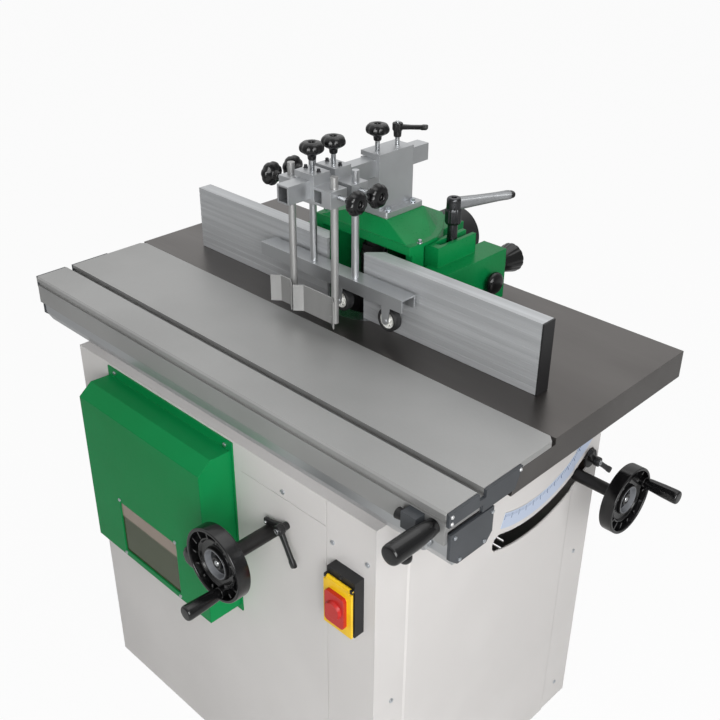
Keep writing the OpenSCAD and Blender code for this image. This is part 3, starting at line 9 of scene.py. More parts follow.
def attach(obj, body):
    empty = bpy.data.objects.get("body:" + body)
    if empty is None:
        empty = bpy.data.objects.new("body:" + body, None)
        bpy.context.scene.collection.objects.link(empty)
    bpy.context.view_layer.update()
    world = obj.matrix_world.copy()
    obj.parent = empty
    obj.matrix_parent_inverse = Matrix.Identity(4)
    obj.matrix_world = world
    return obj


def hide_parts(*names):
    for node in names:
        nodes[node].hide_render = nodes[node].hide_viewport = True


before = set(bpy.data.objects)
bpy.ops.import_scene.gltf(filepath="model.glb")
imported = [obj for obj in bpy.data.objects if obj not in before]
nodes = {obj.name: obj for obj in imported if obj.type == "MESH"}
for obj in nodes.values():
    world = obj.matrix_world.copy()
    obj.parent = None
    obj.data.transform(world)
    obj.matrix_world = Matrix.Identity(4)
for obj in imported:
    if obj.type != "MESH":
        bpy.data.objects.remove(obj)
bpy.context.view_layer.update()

# The photographer's view and the white studio.
# A camera a little above head height, to the right of the operator. A white backdrop lights the machine
# from all round, a large soft lamp stands at the right, a near one before the right corner and one above.


def linear(colour):
    """An sRGB hex colour as linear red, green, blue and alpha."""
    parts = [int(colour[i : i + 2], 16) / 255 for i in (1, 3, 5)]
    return [c / 12.92 if c <= 0.04045 else ((c + 0.055) / 1.055) ** 2.4 for c in parts] + [1.0]


def add(tree, kind, settings=None, inputs=None):
    """Adds one node with its settings, and with values or links on its inputs."""
    node = tree.nodes.new(kind)
    for key, value in (settings or {}).items():
        setattr(node, key, value)
    for key, value in (inputs or {}).items():
        if isinstance(value, bpy.types.NodeSocket):
            tree.links.new(value, node.inputs[key])
        else:
            node.inputs[key].default_value = value
    return node


azimuth, elevation, roll = (math.radians(a) for a in (44.30, 29.52, 0.454))
backward = Vector(
    (
        math.sin(azimuth) * math.cos(elevation),
        -math.cos(azimuth) * math.cos(elevation),
        math.sin(elevation),
    )
)
level_right = Vector((math.cos(azimuth), math.sin(azimuth), 0))
level_up = backward.cross(level_right)
right = level_right * math.cos(roll) + level_up * math.sin(roll)
up = level_up * math.cos(roll) - level_right * math.sin(roll)
camera = bpy.data.objects.new("camera", bpy.data.cameras.new("camera"))
camera.data.lens = 49.553
camera.data.sensor_width = 36
camera.data.clip_start, camera.data.clip_end = 0.05, 100
turn = Matrix((right, up, backward)).transposed().to_4x4()
camera.matrix_world = Matrix.Translation((1.1084, -1.0783, 1.6419)) @ turn
bpy.context.scene.collection.objects.link(camera)
bpy.context.scene.camera = camera
bpy.context.scene.view_settings.view_transform = "Standard"

studio = bpy.data.worlds.new("studio")
bpy.context.scene.world = studio
studio.use_nodes = True
tree = studio.node_tree
tree.nodes.clear()
ray = add(tree, "ShaderNodeLightPath")
seen = add(
    tree,
    "ShaderNodeMath",
    {"operation": "MAXIMUM"},
    {0: ray.outputs["Is Camera Ray"], 1: ray.outputs["Is Transmission Ray"]},
)
glow = add(tree, "ShaderNodeBackground", None, {"Color": linear("#F6F7F8"), "Strength": 0.36})
# Polished metal mirrors a studio that is brightest above and at the back left, and dimmer elsewhere.
direction = add(tree, "ShaderNodeTexCoord")
brightest = add(
    tree,
    "ShaderNodeVectorMath",
    {"operation": "DOT_PRODUCT"},
    {0: direction.outputs["Generated"], 1: (-0.62, 0.22, 0.75)},
)
shade = add(tree, "ShaderNodeValToRGB", None, {0: brightest.outputs["Value"]})
shade.color_ramp.elements[0].position = 0.1
shade.color_ramp.elements[0].color = linear("#989898")
shade.color_ramp.elements[1].position = 0.85
shade.color_ramp.elements[1].color = linear("#FFFFFF")
mirror = add(
    tree, "ShaderNodeBackground", None, {"Color": shade.outputs["Color"], "Strength": 0.95}
)
white = add(tree, "ShaderNodeBackground", None, {"Color": (1, 1, 1, 1), "Strength": 1.0})
lit = add(
    tree,
    "ShaderNodeMixShader",
    None,
    {0: ray.outputs["Is Glossy Ray"], 1: glow.outputs[0], 2: mirror.outputs[0]},
)
both = add(tree, "ShaderNodeMixShader", None, {0: seen.outputs[0], 1: lit.outputs[0], 2: white.outputs[0]})
add(tree, "ShaderNodeOutputWorld", None, {"Surface": both.outputs[0]})


def softbox(name, place, target, size, power):
    """A square lamp at place that faces target."""
    lamp = bpy.data.lights.new(name, "AREA")
    lamp.size, lamp.energy = size, power
    holder = bpy.data.objects.new(name, lamp)
    holder.location = place
    aim = (Vector(target) - Vector(place)).to_track_quat("-Z", "Y")
    holder.rotation_mode = "QUATERNION"
    holder.rotation_quaternion = aim
    bpy.context.scene.collection.objects.link(holder)


softbox("key_lamp", (3.3, -1.3, 2.7), (0.1, 0, 0.8), 2.2, 70)
softbox("fill_lamp", (1.9, -1.9, 1.5), (0.3, 0, 0.8), 1.4, 38)
softbox("top_lamp", (0.1, 0.9, 3.5), (0, 0, 0.9), 2.4, 15)

floor_mesh = bpy.data.meshes.new("studio_floor")
floor_mesh.from_pydata([(-30, -30, 0), (30, -30, 0), (30, 30, 0), (-30, 30, 0)], [], [(0, 1, 2, 3)])
studio_floor = bpy.data.objects.new("studio_floor", floor_mesh)
bpy.context.scene.collection.objects.link(studio_floor)
pale = bpy.data.materials.new("pale_studio_floor")
pale.use_nodes = True
tree = pale.node_tree
tree.nodes.clear()
ray = add(tree, "ShaderNodeLightPath")
matt = add(tree, "ShaderNodeBsdfDiffuse", None, {"Color": linear("#D2D2D1")})
bright = add(tree, "ShaderNodeEmission", None, {"Color": (1, 1, 1, 1), "Strength": 1.0})
seen = add(
    tree,
    "ShaderNodeMath",
    {"operation": "MULTIPLY"},
    {0: ray.outputs["Is Camera Ray"], 1: 0.95},
)
mirrored = add(
    tree,
    "ShaderNodeMath",
    {"operation": "MULTIPLY"},
    {0: ray.outputs["Is Glossy Ray"], 1: 0.15},
)
share = add(tree, "ShaderNodeMath", {"operation": "ADD"}, {0: seen.outputs[0], 1: mirrored.outputs[0]})
both = add(tree, "ShaderNodeMixShader", None, {0: share.outputs[0], 1: matt.outputs[0], 2: bright.outputs[0]})
add(tree, "ShaderNodeOutputMaterial", None, {"Surface": both.outputs[0]})
floor_mesh.materials.append(pale)

# The cabinet.
# Folded steel sheet, 3 mm in the model, screwed to a welded frame. It is powder coated in a pale warm
# grey: a matt film with a fine orange peel and slightly rounded edges at each fold.


def new_finish(name, colour, roughness, metallic=0.0):
    """A material with its shader set, and the place on the piece that its patterns read."""
    material = bpy.data.materials.new(name)
    material.use_nodes = True
    tree = material.node_tree
    shader = tree.nodes["Principled BSDF"]
    shader.inputs["Base Color"].default_value = linear(colour)
    shader.inputs["Roughness"].default_value = roughness
    shader.inputs["Metallic"].default_value = metallic
    where = add(tree, "ShaderNodeTexCoord").outputs["Object"]
    return material, tree, shader, where


def cloud(finish, light, dark, size_mm, stretch=(1, 1, 1), edges=(0.38, 0.62)):
    """Slow drifts of colour between two tones, size_mm across."""
    material, tree, shader, where = finish
    mapped = add(tree, "ShaderNodeMapping", None, {"Vector": where, "Scale": stretch})
    noise = add(
        tree,
        "ShaderNodeTexNoise",
        None,
        {"Vector": mapped.outputs[0], "Scale": 1000 / size_mm, "Detail": 3.0},
    )
    ramp = add(tree, "ShaderNodeValToRGB", None, {0: noise.outputs["Fac"]})
    ramp.color_ramp.elements[0].position, ramp.color_ramp.elements[1].position = edges
    ramp.color_ramp.elements[0].color = linear(dark)
    ramp.color_ramp.elements[1].color = linear(light)
    tree.links.new(ramp.outputs["Color"], shader.inputs["Base Color"])
    return ramp.outputs["Color"]


def grain(finish, size_mm, depth_mm, smooth, rough, stretch=(1, 1, 1), edge_mm=0.0):
    """A fine relief size_mm across and depth_mm deep, which also drifts the roughness. Edges are eased."""
    material, tree, shader, where = finish
    mapped = add(tree, "ShaderNodeMapping", None, {"Vector": where, "Scale": stretch})
    noise = add(
        tree,
        "ShaderNodeTexNoise",
        None,
        {"Vector": mapped.outputs[0], "Scale": 1000 / size_mm, "Detail": 4.0, "Roughness": 0.6},
    )
    drift = add(
        tree,
        "ShaderNodeMapRange",
        None,
        {"Value": noise.outputs["Fac"], "From Min": 0.3, "From Max": 0.7, "To Min": smooth, "To Max": rough},
    )
    tree.links.new(drift.outputs["Result"], shader.inputs["Roughness"])
    bump = add(
        tree, "ShaderNodeBump", None, {"Height": noise.outputs["Fac"], "Distance": depth_mm / 1000}
    )
    if edge_mm:
        eased = add(tree, "ShaderNodeBevel", {"samples": 4}, {"Radius": edge_mm / 1000})
        tree.links.new(eased.outputs["Normal"], bump.inputs["Normal"])
    tree.links.new(bump.outputs["Normal"], shader.inputs["Normal"])
    return noise.outputs["Fac"]


def dress(finish, *names):
    """Gives the model's own nodes this finish."""
    for name in names:
        mesh = nodes[name].data
        mesh.materials.clear()
        mesh.materials.append(finish[0])


grey_coat = new_finish("powder_coat_pale_grey", "#D2CFCD", 0.52)
cloud(grey_coat, "#D5D2D0", "#CFCCCA", 300)
grain(grey_coat, 1.6, 0.02, 0.48, 0.56, edge_mm=1.6)
dress(grey_coat, "rear_left_shell", "front_panel")

# The welded frame shows its coated top flange below the table. Below the height where the flange starts it is
# painted dark brown, a painted shade for the dark inside of the cabinet.
flange_z = 0.755
frame_coat = new_finish("coated_flange_over_painted_inner_shade", "#D2CFCD", 0.55)
coat = cloud(frame_coat, "#D5D2D0", "#CFCCCA", 300)
grain(frame_coat, 1.6, 0.03, 0.5, 0.6, edge_mm=1.0)
material, tree, shader, where = frame_coat
depth = add(tree, "ShaderNodeSeparateXYZ", None, {0: where})
inside = add(tree, "ShaderNodeMath", {"operation": "LESS_THAN"}, {0: depth.outputs["Z"], 1: flange_z})
# Painted shade: dark brown below the flange, where the inside of the cabinet lies in shadow.
shaded_inside = add(
    tree, "ShaderNodeMix", {"data_type": "RGBA"}, {0: inside.outputs[0], 6: coat, 7: linear("#35281F")}
)
tree.links.new(shaded_inside.outputs[2], shader.inputs["Base Color"])
dress(frame_coat, "cabinet_frame")

# The right side carries a pale blue dial in degrees for the tilt. The dial lies round the tilt axis,
# between 226 and 256 mm from it: a printed film with a tick for each degree, longer ones for each five.
tilt_axis = (0, 0.092, 0.838)
dial_inner, tick_inner, dial_outer = 0.2262, 0.229, 0.2558
dial_from, dial_to = -20.5, 43.0
side_face_x = 0.3775
dial_side = new_finish("powder_coat_with_tilt_dial", "#D2CFCD", 0.52)
coat = cloud(dial_side, "#D5D2D0", "#CFCCCA", 300)
grain(dial_side, 1.6, 0.02, 0.48, 0.56, edge_mm=1.6)
material, tree, shader, where = dial_side
centred = add(tree, "ShaderNodeVectorMath", {"operation": "SUBTRACT"}, {0: where, 1: tilt_axis})
axes = add(tree, "ShaderNodeSeparateXYZ", None, {0: centred.outputs[0]})
radius = add(
    tree,
    "ShaderNodeMath",
    {"operation": "SQRT"},
    {
        0: add(
            tree,
            "ShaderNodeMath",
            {"operation": "MULTIPLY_ADD"},
            {
                0: axes.outputs["Y"],
                1: axes.outputs["Y"],
                2: add(
                    tree,
                    "ShaderNodeMath",
                    {"operation": "MULTIPLY"},
                    {0: axes.outputs["Z"], 1: axes.outputs["Z"]},
                ).outputs[0],
            },
        ).outputs[0]
    },
)
down = add(tree, "ShaderNodeMath", {"operation": "MULTIPLY"}, {0: axes.outputs["Z"], 1: -1.0})
angle = add(tree, "ShaderNodeMath", {"operation": "ARCTAN2"}, {0: axes.outputs["Y"], 1: down.outputs[0]})
degrees = add(tree, "ShaderNodeMath", {"operation": "MULTIPLY"}, {0: angle.outputs[0], 1: 180 / math.pi})


def between(tree, value, low, high):
    """1 where value lies between low and high."""
    above = add(tree, "ShaderNodeMath", {"operation": "GREATER_THAN"}, {0: value, 1: low})
    below = add(tree, "ShaderNodeMath", {"operation": "LESS_THAN"}, {0: value, 1: high})
    return add(
        tree, "ShaderNodeMath", {"operation": "MULTIPLY"}, {0: above.outputs[0], 1: below.outputs[0]}
    ).outputs[0]


outside = add(tree, "ShaderNodeMath", {"operation": "GREATER_THAN"}, {0: axes.outputs["X"], 1: side_face_x})
proud = add(
    tree,
    "ShaderNodeMath",
    {"operation": "MULTIPLY"},
    {0: outside.outputs[0], 1: between(tree, degrees.outputs[0], dial_from, dial_to)},
).outputs[0]
band = add(
    tree,
    "ShaderNodeMath",
    {"operation": "MULTIPLY"},
    {0: between(tree, radius.outputs[0], dial_inner, dial_outer), 1: proud},
).outputs[0]
film = add(
    tree,
    "ShaderNodeMix",
    {"data_type": "RGBA"},
    {0: band, 6: coat, 7: linear("#B9C4D8")},
).outputs[2]
ticks = None
for step, outer, width in ((1.0, 0.2345, 0.14), (5.0, 0.2395, 0.05)):
    turn_count = add(
        tree, "ShaderNodeMath", {"operation": "DIVIDE"}, {0: degrees.outputs[0], 1: step}
    )
    part = add(tree, "ShaderNodeMath", {"operation": "PINGPONG"}, {0: turn_count.outputs[0], 1: 0.5})
    near = add(tree, "ShaderNodeMath", {"operation": "LESS_THAN"}, {0: part.outputs[0], 1: width})
    tick = add(
        tree,
        "ShaderNodeMath",
        {"operation": "MULTIPLY"},
        {0: near.outputs[0], 1: between(tree, radius.outputs[0], tick_inner, outer)},
    )
    ticks = tick if ticks is None else add(
        tree, "ShaderNodeMath", {"operation": "MAXIMUM"}, {0: ticks.outputs[0], 1: tick.outputs[0]}
    )
marked = add(tree, "ShaderNodeMath", {"operation": "MULTIPLY"}, {0: ticks.outputs[0], 1: proud})
film = add(
    tree,
    "ShaderNodeMix",
    {"data_type": "RGBA"},
    {0: marked.outputs[0], 6: film, 7: linear("#67789A")},
).outputs[2]
tree.links.new(film, shader.inputs["Base Color"])
dress(dial_side, "right_side")

# The green front cover.
# A folded steel hood over the space that the motor swings into. It is painted in a satin leaf green
# with a light orange peel, and a smoky pane is screwed behind its window.
green_enamel = new_finish("enamel_leaf_green", "#0A7742", 0.5)
cloud(green_enamel, "#0C8347", "#0A7C41", 240)
grain(green_enamel, 4.0, 0.03, 0.32, 0.4, edge_mm=2.2)
green_enamel[2].inputs["IOR"].default_value = 1.2
dress(green_enamel, "front_cover")

smoky = new_finish("smoky_acrylic_pane", "#4A5038", 0.1)
material, tree, shader, where = smoky
# Sheet acrylic, tinted olive, with a paler brownish band along its top: the dark inside shows through it.
upright = add(tree, "ShaderNodeSeparateXYZ", None, {0: where})
pale_top_band = add(
    tree,
    "ShaderNodeMapRange",
    {"interpolation_type": "SMOOTHSTEP"},
    {"Value": upright.outputs["Z"], "From Min": 0.507, "From Max": 0.514, "To Min": 0.0, "To Max": 1.0},
)
tinted = add(
    tree,
    "ShaderNodeMix",
    {"data_type": "RGBA"},
    {0: pale_top_band.outputs["Result"], 6: linear("#434B31"), 7: linear("#9C8D80")},
)
tree.links.new(tinted.outputs[2], shader.inputs["Base Color"])
haze = add(tree, "ShaderNodeTexNoise", None, {"Vector": where, "Scale": 9.0, "Detail": 3.0})
veil = add(
    tree,
    "ShaderNodeMapRange",
    None,
    {"Value": haze.outputs["Fac"], "From Min": 0.3, "From Max": 0.7, "To Min": 0.8, "To Max": 0.9},
)
tree.links.new(veil.outputs["Result"], shader.inputs["Alpha"])
dust = add(tree, "ShaderNodeTexNoise", None, {"Vector": where, "Scale": 700.0, "Detail": 2.0})
dulled = add(
    tree,
    "ShaderNodeMapRange",
    None,
    {"Value": dust.outputs["Fac"], "From Min": 0.3, "From Max": 0.7, "To Min": 0.06, "To Max": 0.24},
)
tree.links.new(dulled.outputs["Result"], shader.inputs["Roughness"])
dress(smoky, "cover_window")

# Screws.
# Pan-head and hexagon screws of zinc-plated steel. The plating is bright and slightly blue.
zinc = new_finish("zinc_plated_steel", "#C6CACF", 0.3, 1.0)
cloud(zinc, "#CED2D7", "#BCC1C7", 6)
grain(zinc, 0.8, 0.01, 0.25, 0.35, edge_mm=0.5)
dress(zinc, "fasteners")

# The table.
# Grey cast iron, planed lengthwise and oiled. Its face is dark and mirrors a little, with fine cutter
# lines 2 mm apart, and its cast sides are rougher.
iron = new_finish("planed_cast_iron", "#676462", 0.34, 0.9)
cloud(iron, "#6C6967", "#615E5C", 180, stretch=(0.35, 1, 1))
grain(iron, 2.0, 0.02, 0.3, 0.38, stretch=(0.02, 1, 1), edge_mm=1.0)
dress(iron, "main_table")

turned = new_finish("turned_bright_steel", "#B9BBBD", 0.28, 1.0)
cloud(turned, "#BEC0C2", "#AEB0B2", 12)
grain(turned, 0.7, 0.01, 0.24, 0.32, stretch=(1, 1, 6), edge_mm=0.6)
dress(turned, "table_ring", "height_screw", "motor_pulley")

# The sliding table.
# An extruded aluminium plate, milled flat and bead blasted, on two steel rods. The face is a soft light
# grey with faint lines along the travel. Below it runs the anodised rail.
blasted = new_finish("blasted_aluminium_extrusion", "#ABABAA", 0.5, 0.7)
cloud(blasted, "#AEAEAD", "#A7A7A6", 220)
grain(blasted, 1.2, 0.02, 0.46, 0.54, stretch=(0.25, 1, 1), edge_mm=0.8)
dress(blasted, "sliding_table")

anodised = new_finish("anodised_aluminium_rail", "#BEC0C2", 0.36, 0.9)
cloud(anodised, "#C1C3C5", "#B9BBBD", 90, stretch=(0.1, 1, 1))
grain(anodised, 1.0, 0.01, 0.34, 0.4, stretch=(0.03, 1, 1), edge_mm=0.8)
dress(anodised, "slide_rail", "pressure_beam", "pressure_shoe")

dark_plate = new_finish("end_plate_dark_enamel", "#3C3F44", 0.42)
cloud(dark_plate, "#3F4246", "#383B3F", 60)
grain(dark_plate, 1.5, 0.02, 0.38, 0.46, edge_mm=1.0)
dress(dark_plate, "rail_end_plates", "slide_end_plates")

# The drives inside.
# Trunnions, tilting frame and quill are iron castings as they leave the foundry, and the shafts are
# blackened steel. The motor is painted dark grey.
rough_iron = new_finish("iron_as_cast", "#4A4A4A", 0.7, 0.4)
cloud(rough_iron, "#565656", "#3C3B3A", 50)
grain(rough_iron, 2.5, 0.15, 0.6, 0.8, edge_mm=1.5)
dress(rough_iron, "trunnion_guides", "tilt_frame", "quill_housing")

motor_paint = new_finish("motor_paint_dark_grey", "#33363A", 0.6)
cloud(motor_paint, "#393C40", "#2D2F33", 90)
grain(motor_paint, 2.0, 0.05, 0.54, 0.66, edge_mm=1.0)
dress(motor_paint, "drive_motor")

blackened = new_finish("blackened_steel", "#2B2A2A", 0.44, 0.6)
cloud(blackened, "#2F2E2E", "#272626", 40)
grain(blackened, 0.9, 0.01, 0.4, 0.48, edge_mm=0.6)
dress(blackened, "tilt_shaft", "height_shaft", "spindle_arbor")

belt_rubber = new_finish("belt_rubber", "#17171A", 0.7)
cloud(belt_rubber, "#1E1E20", "#101012", 8)
grain(belt_rubber, 0.8, 0.05, 0.62, 0.8)
dress(belt_rubber, "drive_belt")

# The fence.
# Two halves of brushed, clear-anodised aluminium extrusion with fine ribs along the face. The brushing
# runs lengthwise, so highlights stretch along the fence.
brushed = new_finish("brushed_anodised_aluminium", "#C6C8CA", 0.46, 0.55)
cloud(brushed, "#CCCED0", "#BEC0C2", 9, stretch=(0.02, 1, 1))
grain(brushed, 1.4, 0.02, 0.4, 0.5, stretch=(0.01, 1, 1), edge_mm=0.5)
dress(brushed, "left_fence")
cap_x = 0.40665
capped = new_finish("brushed_aluminium_with_black_cap", "#C6C8CA", 0.46, 0.55)
metal = cloud(capped, "#CCCED0", "#BEC0C2", 9, stretch=(0.02, 1, 1))
grain(capped, 1.4, 0.02, 0.4, 0.5, stretch=(0.01, 1, 1), edge_mm=0.5)
material, tree, shader, where = capped
along = add(tree, "ShaderNodeSeparateXYZ", None, {0: where})
end = add(tree, "ShaderNodeMath", {"operation": "GREATER_THAN"}, {0: along.outputs["X"], 1: cap_x})
cap_colour = add(
    tree, "ShaderNodeMix", {"data_type": "RGBA"}, {0: end.outputs[0], 6: metal, 7: linear("#1C1C1D")}
)
tree.links.new(cap_colour.outputs[2], shader.inputs["Base Color"])
less_metal = add(
    tree,
    "ShaderNodeMapRange",
    None,
    {"Value": end.outputs[0], "To Min": 0.55, "To Max": 0.0},
)
tree.links.new(less_metal.outputs["Result"], shader.inputs["Metallic"])
dress(capped, "right_fence")

# The hood.
# A grey iron casting in satin green enamel: the sand's texture shows through the paint and every edge
# is rounded. The dust port behind it is moulded in black ABS.
green_casting = new_finish("green_enamel_on_casting", "#108A49", 0.36)
cloud(green_casting, "#0E8648", "#0B7D41", 120)
grain(green_casting, 3.5, 0.05, 0.26, 0.34, edge_mm=3.0)
green_casting[2].inputs["IOR"].default_value = 1.25
dress(green_casting, "hood_body", "right_carrier")

black_abs = new_finish("matt_black_abs", "#141416", 0.5)
cloud(black_abs, "#19191B", "#0F0F10", 40)
grain(black_abs, 1.0, 0.04, 0.42, 0.6, edge_mm=1.0)
dress(black_abs, "dust_port", "switch_box", "slide_lock_knob")

# The pressure device.
# Column and clamps are small aluminium castings, tumbled to a satin face.
satin_casting = new_finish("tumbled_aluminium_casting", "#BDBFC1", 0.42, 0.8)
cloud(satin_casting, "#C0C2C4", "#B8BABC", 70)
grain(satin_casting, 1.6, 0.02, 0.38, 0.46, edge_mm=1.2)
dress(satin_casting, "clamp_column")

# The crosses carry two blackened hexagon screws each beside the stud of their knob.
heads_z = 1.13225
screwed = new_finish("tumbled_casting_with_black_screws", "#BDBFC1", 0.42, 0.8)
metal = cloud(screwed, "#C0C2C4", "#B8BABC", 70)
grain(screwed, 1.6, 0.02, 0.38, 0.46, edge_mm=1.2)
material, tree, shader, where = screwed
upright = add(tree, "ShaderNodeSeparateXYZ", None, {0: where})
heads = add(tree, "ShaderNodeMath", {"operation": "GREATER_THAN"}, {0: upright.outputs["Z"], 1: heads_z})
black_heads = add(
    tree, "ShaderNodeMix", {"data_type": "RGBA"}, {0: heads.outputs[0], 6: metal, 7: linear("#343537")}
)
tree.links.new(black_heads.outputs[2], shader.inputs["Base Color"])
dress(screwed, "front_cross", "rear_cross")

# Guide rods and bent plates: ground steel with a satin zinc coat, which shines in soft upright bands.
satin_steel = new_finish("satin_zinc_on_ground_steel", "#B2B2B1", 0.4, 0.75)
cloud(satin_steel, "#B6B6B5", "#ACACAB", 60, stretch=(1, 1, 0.3))
grain(satin_steel, 1.0, 0.01, 0.36, 0.44, stretch=(1, 1, 0.1), edge_mm=0.5)
dress(satin_steel, "side_guides")

# Star knobs.
# Seven soft lobes round a dimpled top, moulded in black thermoset and polished, each on a bright steel
# stud. Two stand on the crosses, one on the column, and four clamp the rods from the side.


def lathe(profile, around=64):
    """A closed turned shape round Z, from a profile of radius and height in mm with both ends on the axis."""
    points, faces, rings = [], [], []
    for radius, height in profile:
        count = around if radius > 1e-6 else 1
        rings.append([len(points) + i for i in range(count)])
        for i in range(count):
            turned = math.tau * i / around
            points.append((radius * math.cos(turned), radius * math.sin(turned), height))
    for low, high in zip(rings, rings[1:]):
        for i in range(around):
            j = i + 1
            corners = [low[i % len(low)], low[j % len(low)], high[j % len(high)], high[i % len(high)]]
            corners = list(dict.fromkeys(corners))
            if len(corners) > 2:
                faces.append(corners)
    return points, faces


def eased(profile, reach, steps=4):
    """The profile with each corner turned into a curve that starts reach mm from it."""
    curve = [tuple(profile[0])]
    for before, corner, after in zip(profile, profile[1:], profile[2:]):
        before, corner, after = Vector(before), Vector(corner), Vector(after)
        span = min(reach, (before - corner).length / 2, (after - corner).length / 2)
        first = corner + (before - corner).normalized() * span
        last = corner + (after - corner).normalized() * span
        for i in range(steps + 1):
            t = i / steps
            curve.append(tuple(first * (1 - t) ** 2 + corner * 2 * t * (1 - t) + last * t * t))
    curve.append(tuple(profile[-1]))
    return curve


def node_rule(name, sizes):
    """An empty node tree with named inputs for its sizes and its finish."""
    rule = bpy.data.node_groups.new(name, "GeometryNodeTree")
    rule.interface.new_socket("Blank", in_out="INPUT", socket_type="NodeSocketGeometry")
    for label, kind in sizes:
        rule.interface.new_socket(label, in_out="INPUT", socket_type="NodeSocket" + kind)
    rule.interface.new_socket("Finish", in_out="INPUT", socket_type="NodeSocketMaterial")
    rule.interface.new_socket("Piece", in_out="OUTPUT", socket_type="NodeSocketGeometry")
    return rule, rule.nodes.new("NodeGroupInput").outputs, rule.nodes.new("NodeGroupOutput")


def grown(blank, rule, finish, sizes):
    """The points and faces that a node tree makes from a blank with these named sizes."""
    mesh = bpy.data.meshes.new("blank")
    mesh.from_pydata([Vector(p) for p in blank[0]], [], blank[1])
    holder = bpy.data.objects.new("blank", mesh)
    bpy.context.scene.collection.objects.link(holder)
    modifier = holder.modifiers.new("rule", "NODES")
    modifier.node_group = rule
    for item in rule.interface.items_tree:
        if item.in_out == "INPUT" and item.name in sizes:
            modifier[item.identifier] = sizes[item.name]
        if item.in_out == "INPUT" and item.name == "Finish":
            modifier[item.identifier] = finish[0]
    graph = bpy.context.evaluated_depsgraph_get()
    made = bpy.data.meshes.new_from_object(holder.evaluated_get(graph))
    shape = [tuple(v.co) for v in made.vertices], [list(f.vertices) for f in made.polygons]
    bpy.data.objects.remove(holder)
    return shape


def build(name, parts, body, place=None, stands_for=(), crease=38):
    """One piece from (shape, finish) pairs in mm, put in its place on a body of the machine."""
    place = place or Matrix()
    mesh = bpy.data.meshes.new(name)
    points, faces, marks = [], [], []
    for (part_points, part_faces), finish in parts:
        start = len(points)
        points += [place @ (Vector(p) / 1000) for p in part_points]
        faces += [[start + i for i in face] for face in part_faces]
        if mesh.materials.find(finish[0].name) < 0:
            mesh.materials.append(finish[0])
        marks += [mesh.materials.find(finish[0].name)] * len(part_faces)
    mesh.from_pydata(points, [], faces)
    mesh.polygons.foreach_set("material_index", marks)
    mesh.shade_smooth()
    mesh.set_sharp_from_angle(angle=math.radians(crease))
    piece = bpy.data.objects.new(name, mesh)
    bpy.context.scene.collection.objects.link(piece)
    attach(piece, body)
    if stands_for:
        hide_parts(*stands_for)
    return piece


bakelite = new_finish("polished_black_bakelite", "#0D0D0E", 0.2)
cloud(bakelite, "#101011", "#0A0A0B", 40)
grain(bakelite, 6.0, 0.012, 0.16, 0.23)
stud_steel = new_finish("bright_stud_steel", "#C4C6C8", 0.25, 1.0)
cloud(stud_steel, "#CDCFD1", "#B0B2B4", 8)
grain(stud_steel, 0.7, 0.01, 0.18, 0.32)

# The lobes are a rule: each point moves towards the axis by a cosine of its angle, more the further out.
lobe_rule, lobe, lobe_end = node_rule(
    "lobes_round_a_knob", [("Lobes", "Int"), ("Depth", "Float"), ("Inner", "Float"), ("Outer", "Float")]
)
spot = add(lobe_rule, "GeometryNodeInputPosition").outputs[0]
parts = add(lobe_rule, "ShaderNodeSeparateXYZ", None, {0: spot})
flat = add(lobe_rule, "ShaderNodeCombineXYZ", None, {"X": parts.outputs["X"], "Y": parts.outputs["Y"]})
reach = add(lobe_rule, "ShaderNodeVectorMath", {"operation": "LENGTH"}, {0: flat.outputs[0]})
bearing = add(
    lobe_rule, "ShaderNodeMath", {"operation": "ARCTAN2"}, {0: parts.outputs["Y"], 1: parts.outputs["X"]}
)
turns = add(lobe_rule, "ShaderNodeMath", {"operation": "MULTIPLY"}, {0: bearing.outputs[0], 1: lobe["Lobes"]})
wave = add(lobe_rule, "ShaderNodeMath", {"operation": "COSINE"}, {0: turns.outputs[0]})
hollow = add(
    lobe_rule,
    "ShaderNodeMapRange",
    None,
    {"Value": wave.outputs[0], "From Min": -0.2, "From Max": 1.0},
)
amount = add(
    lobe_rule,
    "ShaderNodeMapRange",
    {"interpolation_type": "SMOOTHSTEP"},
    {
        "Value": reach.outputs["Value"],
        "From Min": lobe["Inner"],
        "From Max": lobe["Outer"],
        "To Max": lobe["Depth"],
    },
)
inward = add(
    lobe_rule,
    "ShaderNodeMath",
    {"operation": "MULTIPLY"},
    {0: hollow.outputs["Result"], 1: amount.outputs["Result"]},
)
back = add(lobe_rule, "ShaderNodeMath", {"operation": "MULTIPLY"}, {0: inward.outputs[0], 1: -1.0})
away = add(lobe_rule, "ShaderNodeVectorMath", {"operation": "NORMALIZE"}, {0: flat.outputs[0]})
shift = add(
    lobe_rule,
    "ShaderNodeVectorMath",
    {"operation": "SCALE"},
    {0: away.outputs[0], "Scale": back.outputs[0]},
)
moved = add(
    lobe_rule,
    "GeometryNodeSetPosition",
    None,
    {"Geometry": lobe["Blank"], "Offset": shift.outputs[0]},
)
real = add(lobe_rule, "GeometryNodeRealizeInstances", None, {0: moved.outputs[0]})
dressed = add(
    lobe_rule, "GeometryNodeSetMaterial", None, {"Geometry": real.outputs[0], "Material": lobe["Finish"]}
)
lobe_rule.links.new(dressed.outputs[0], lobe_end.inputs["Piece"])

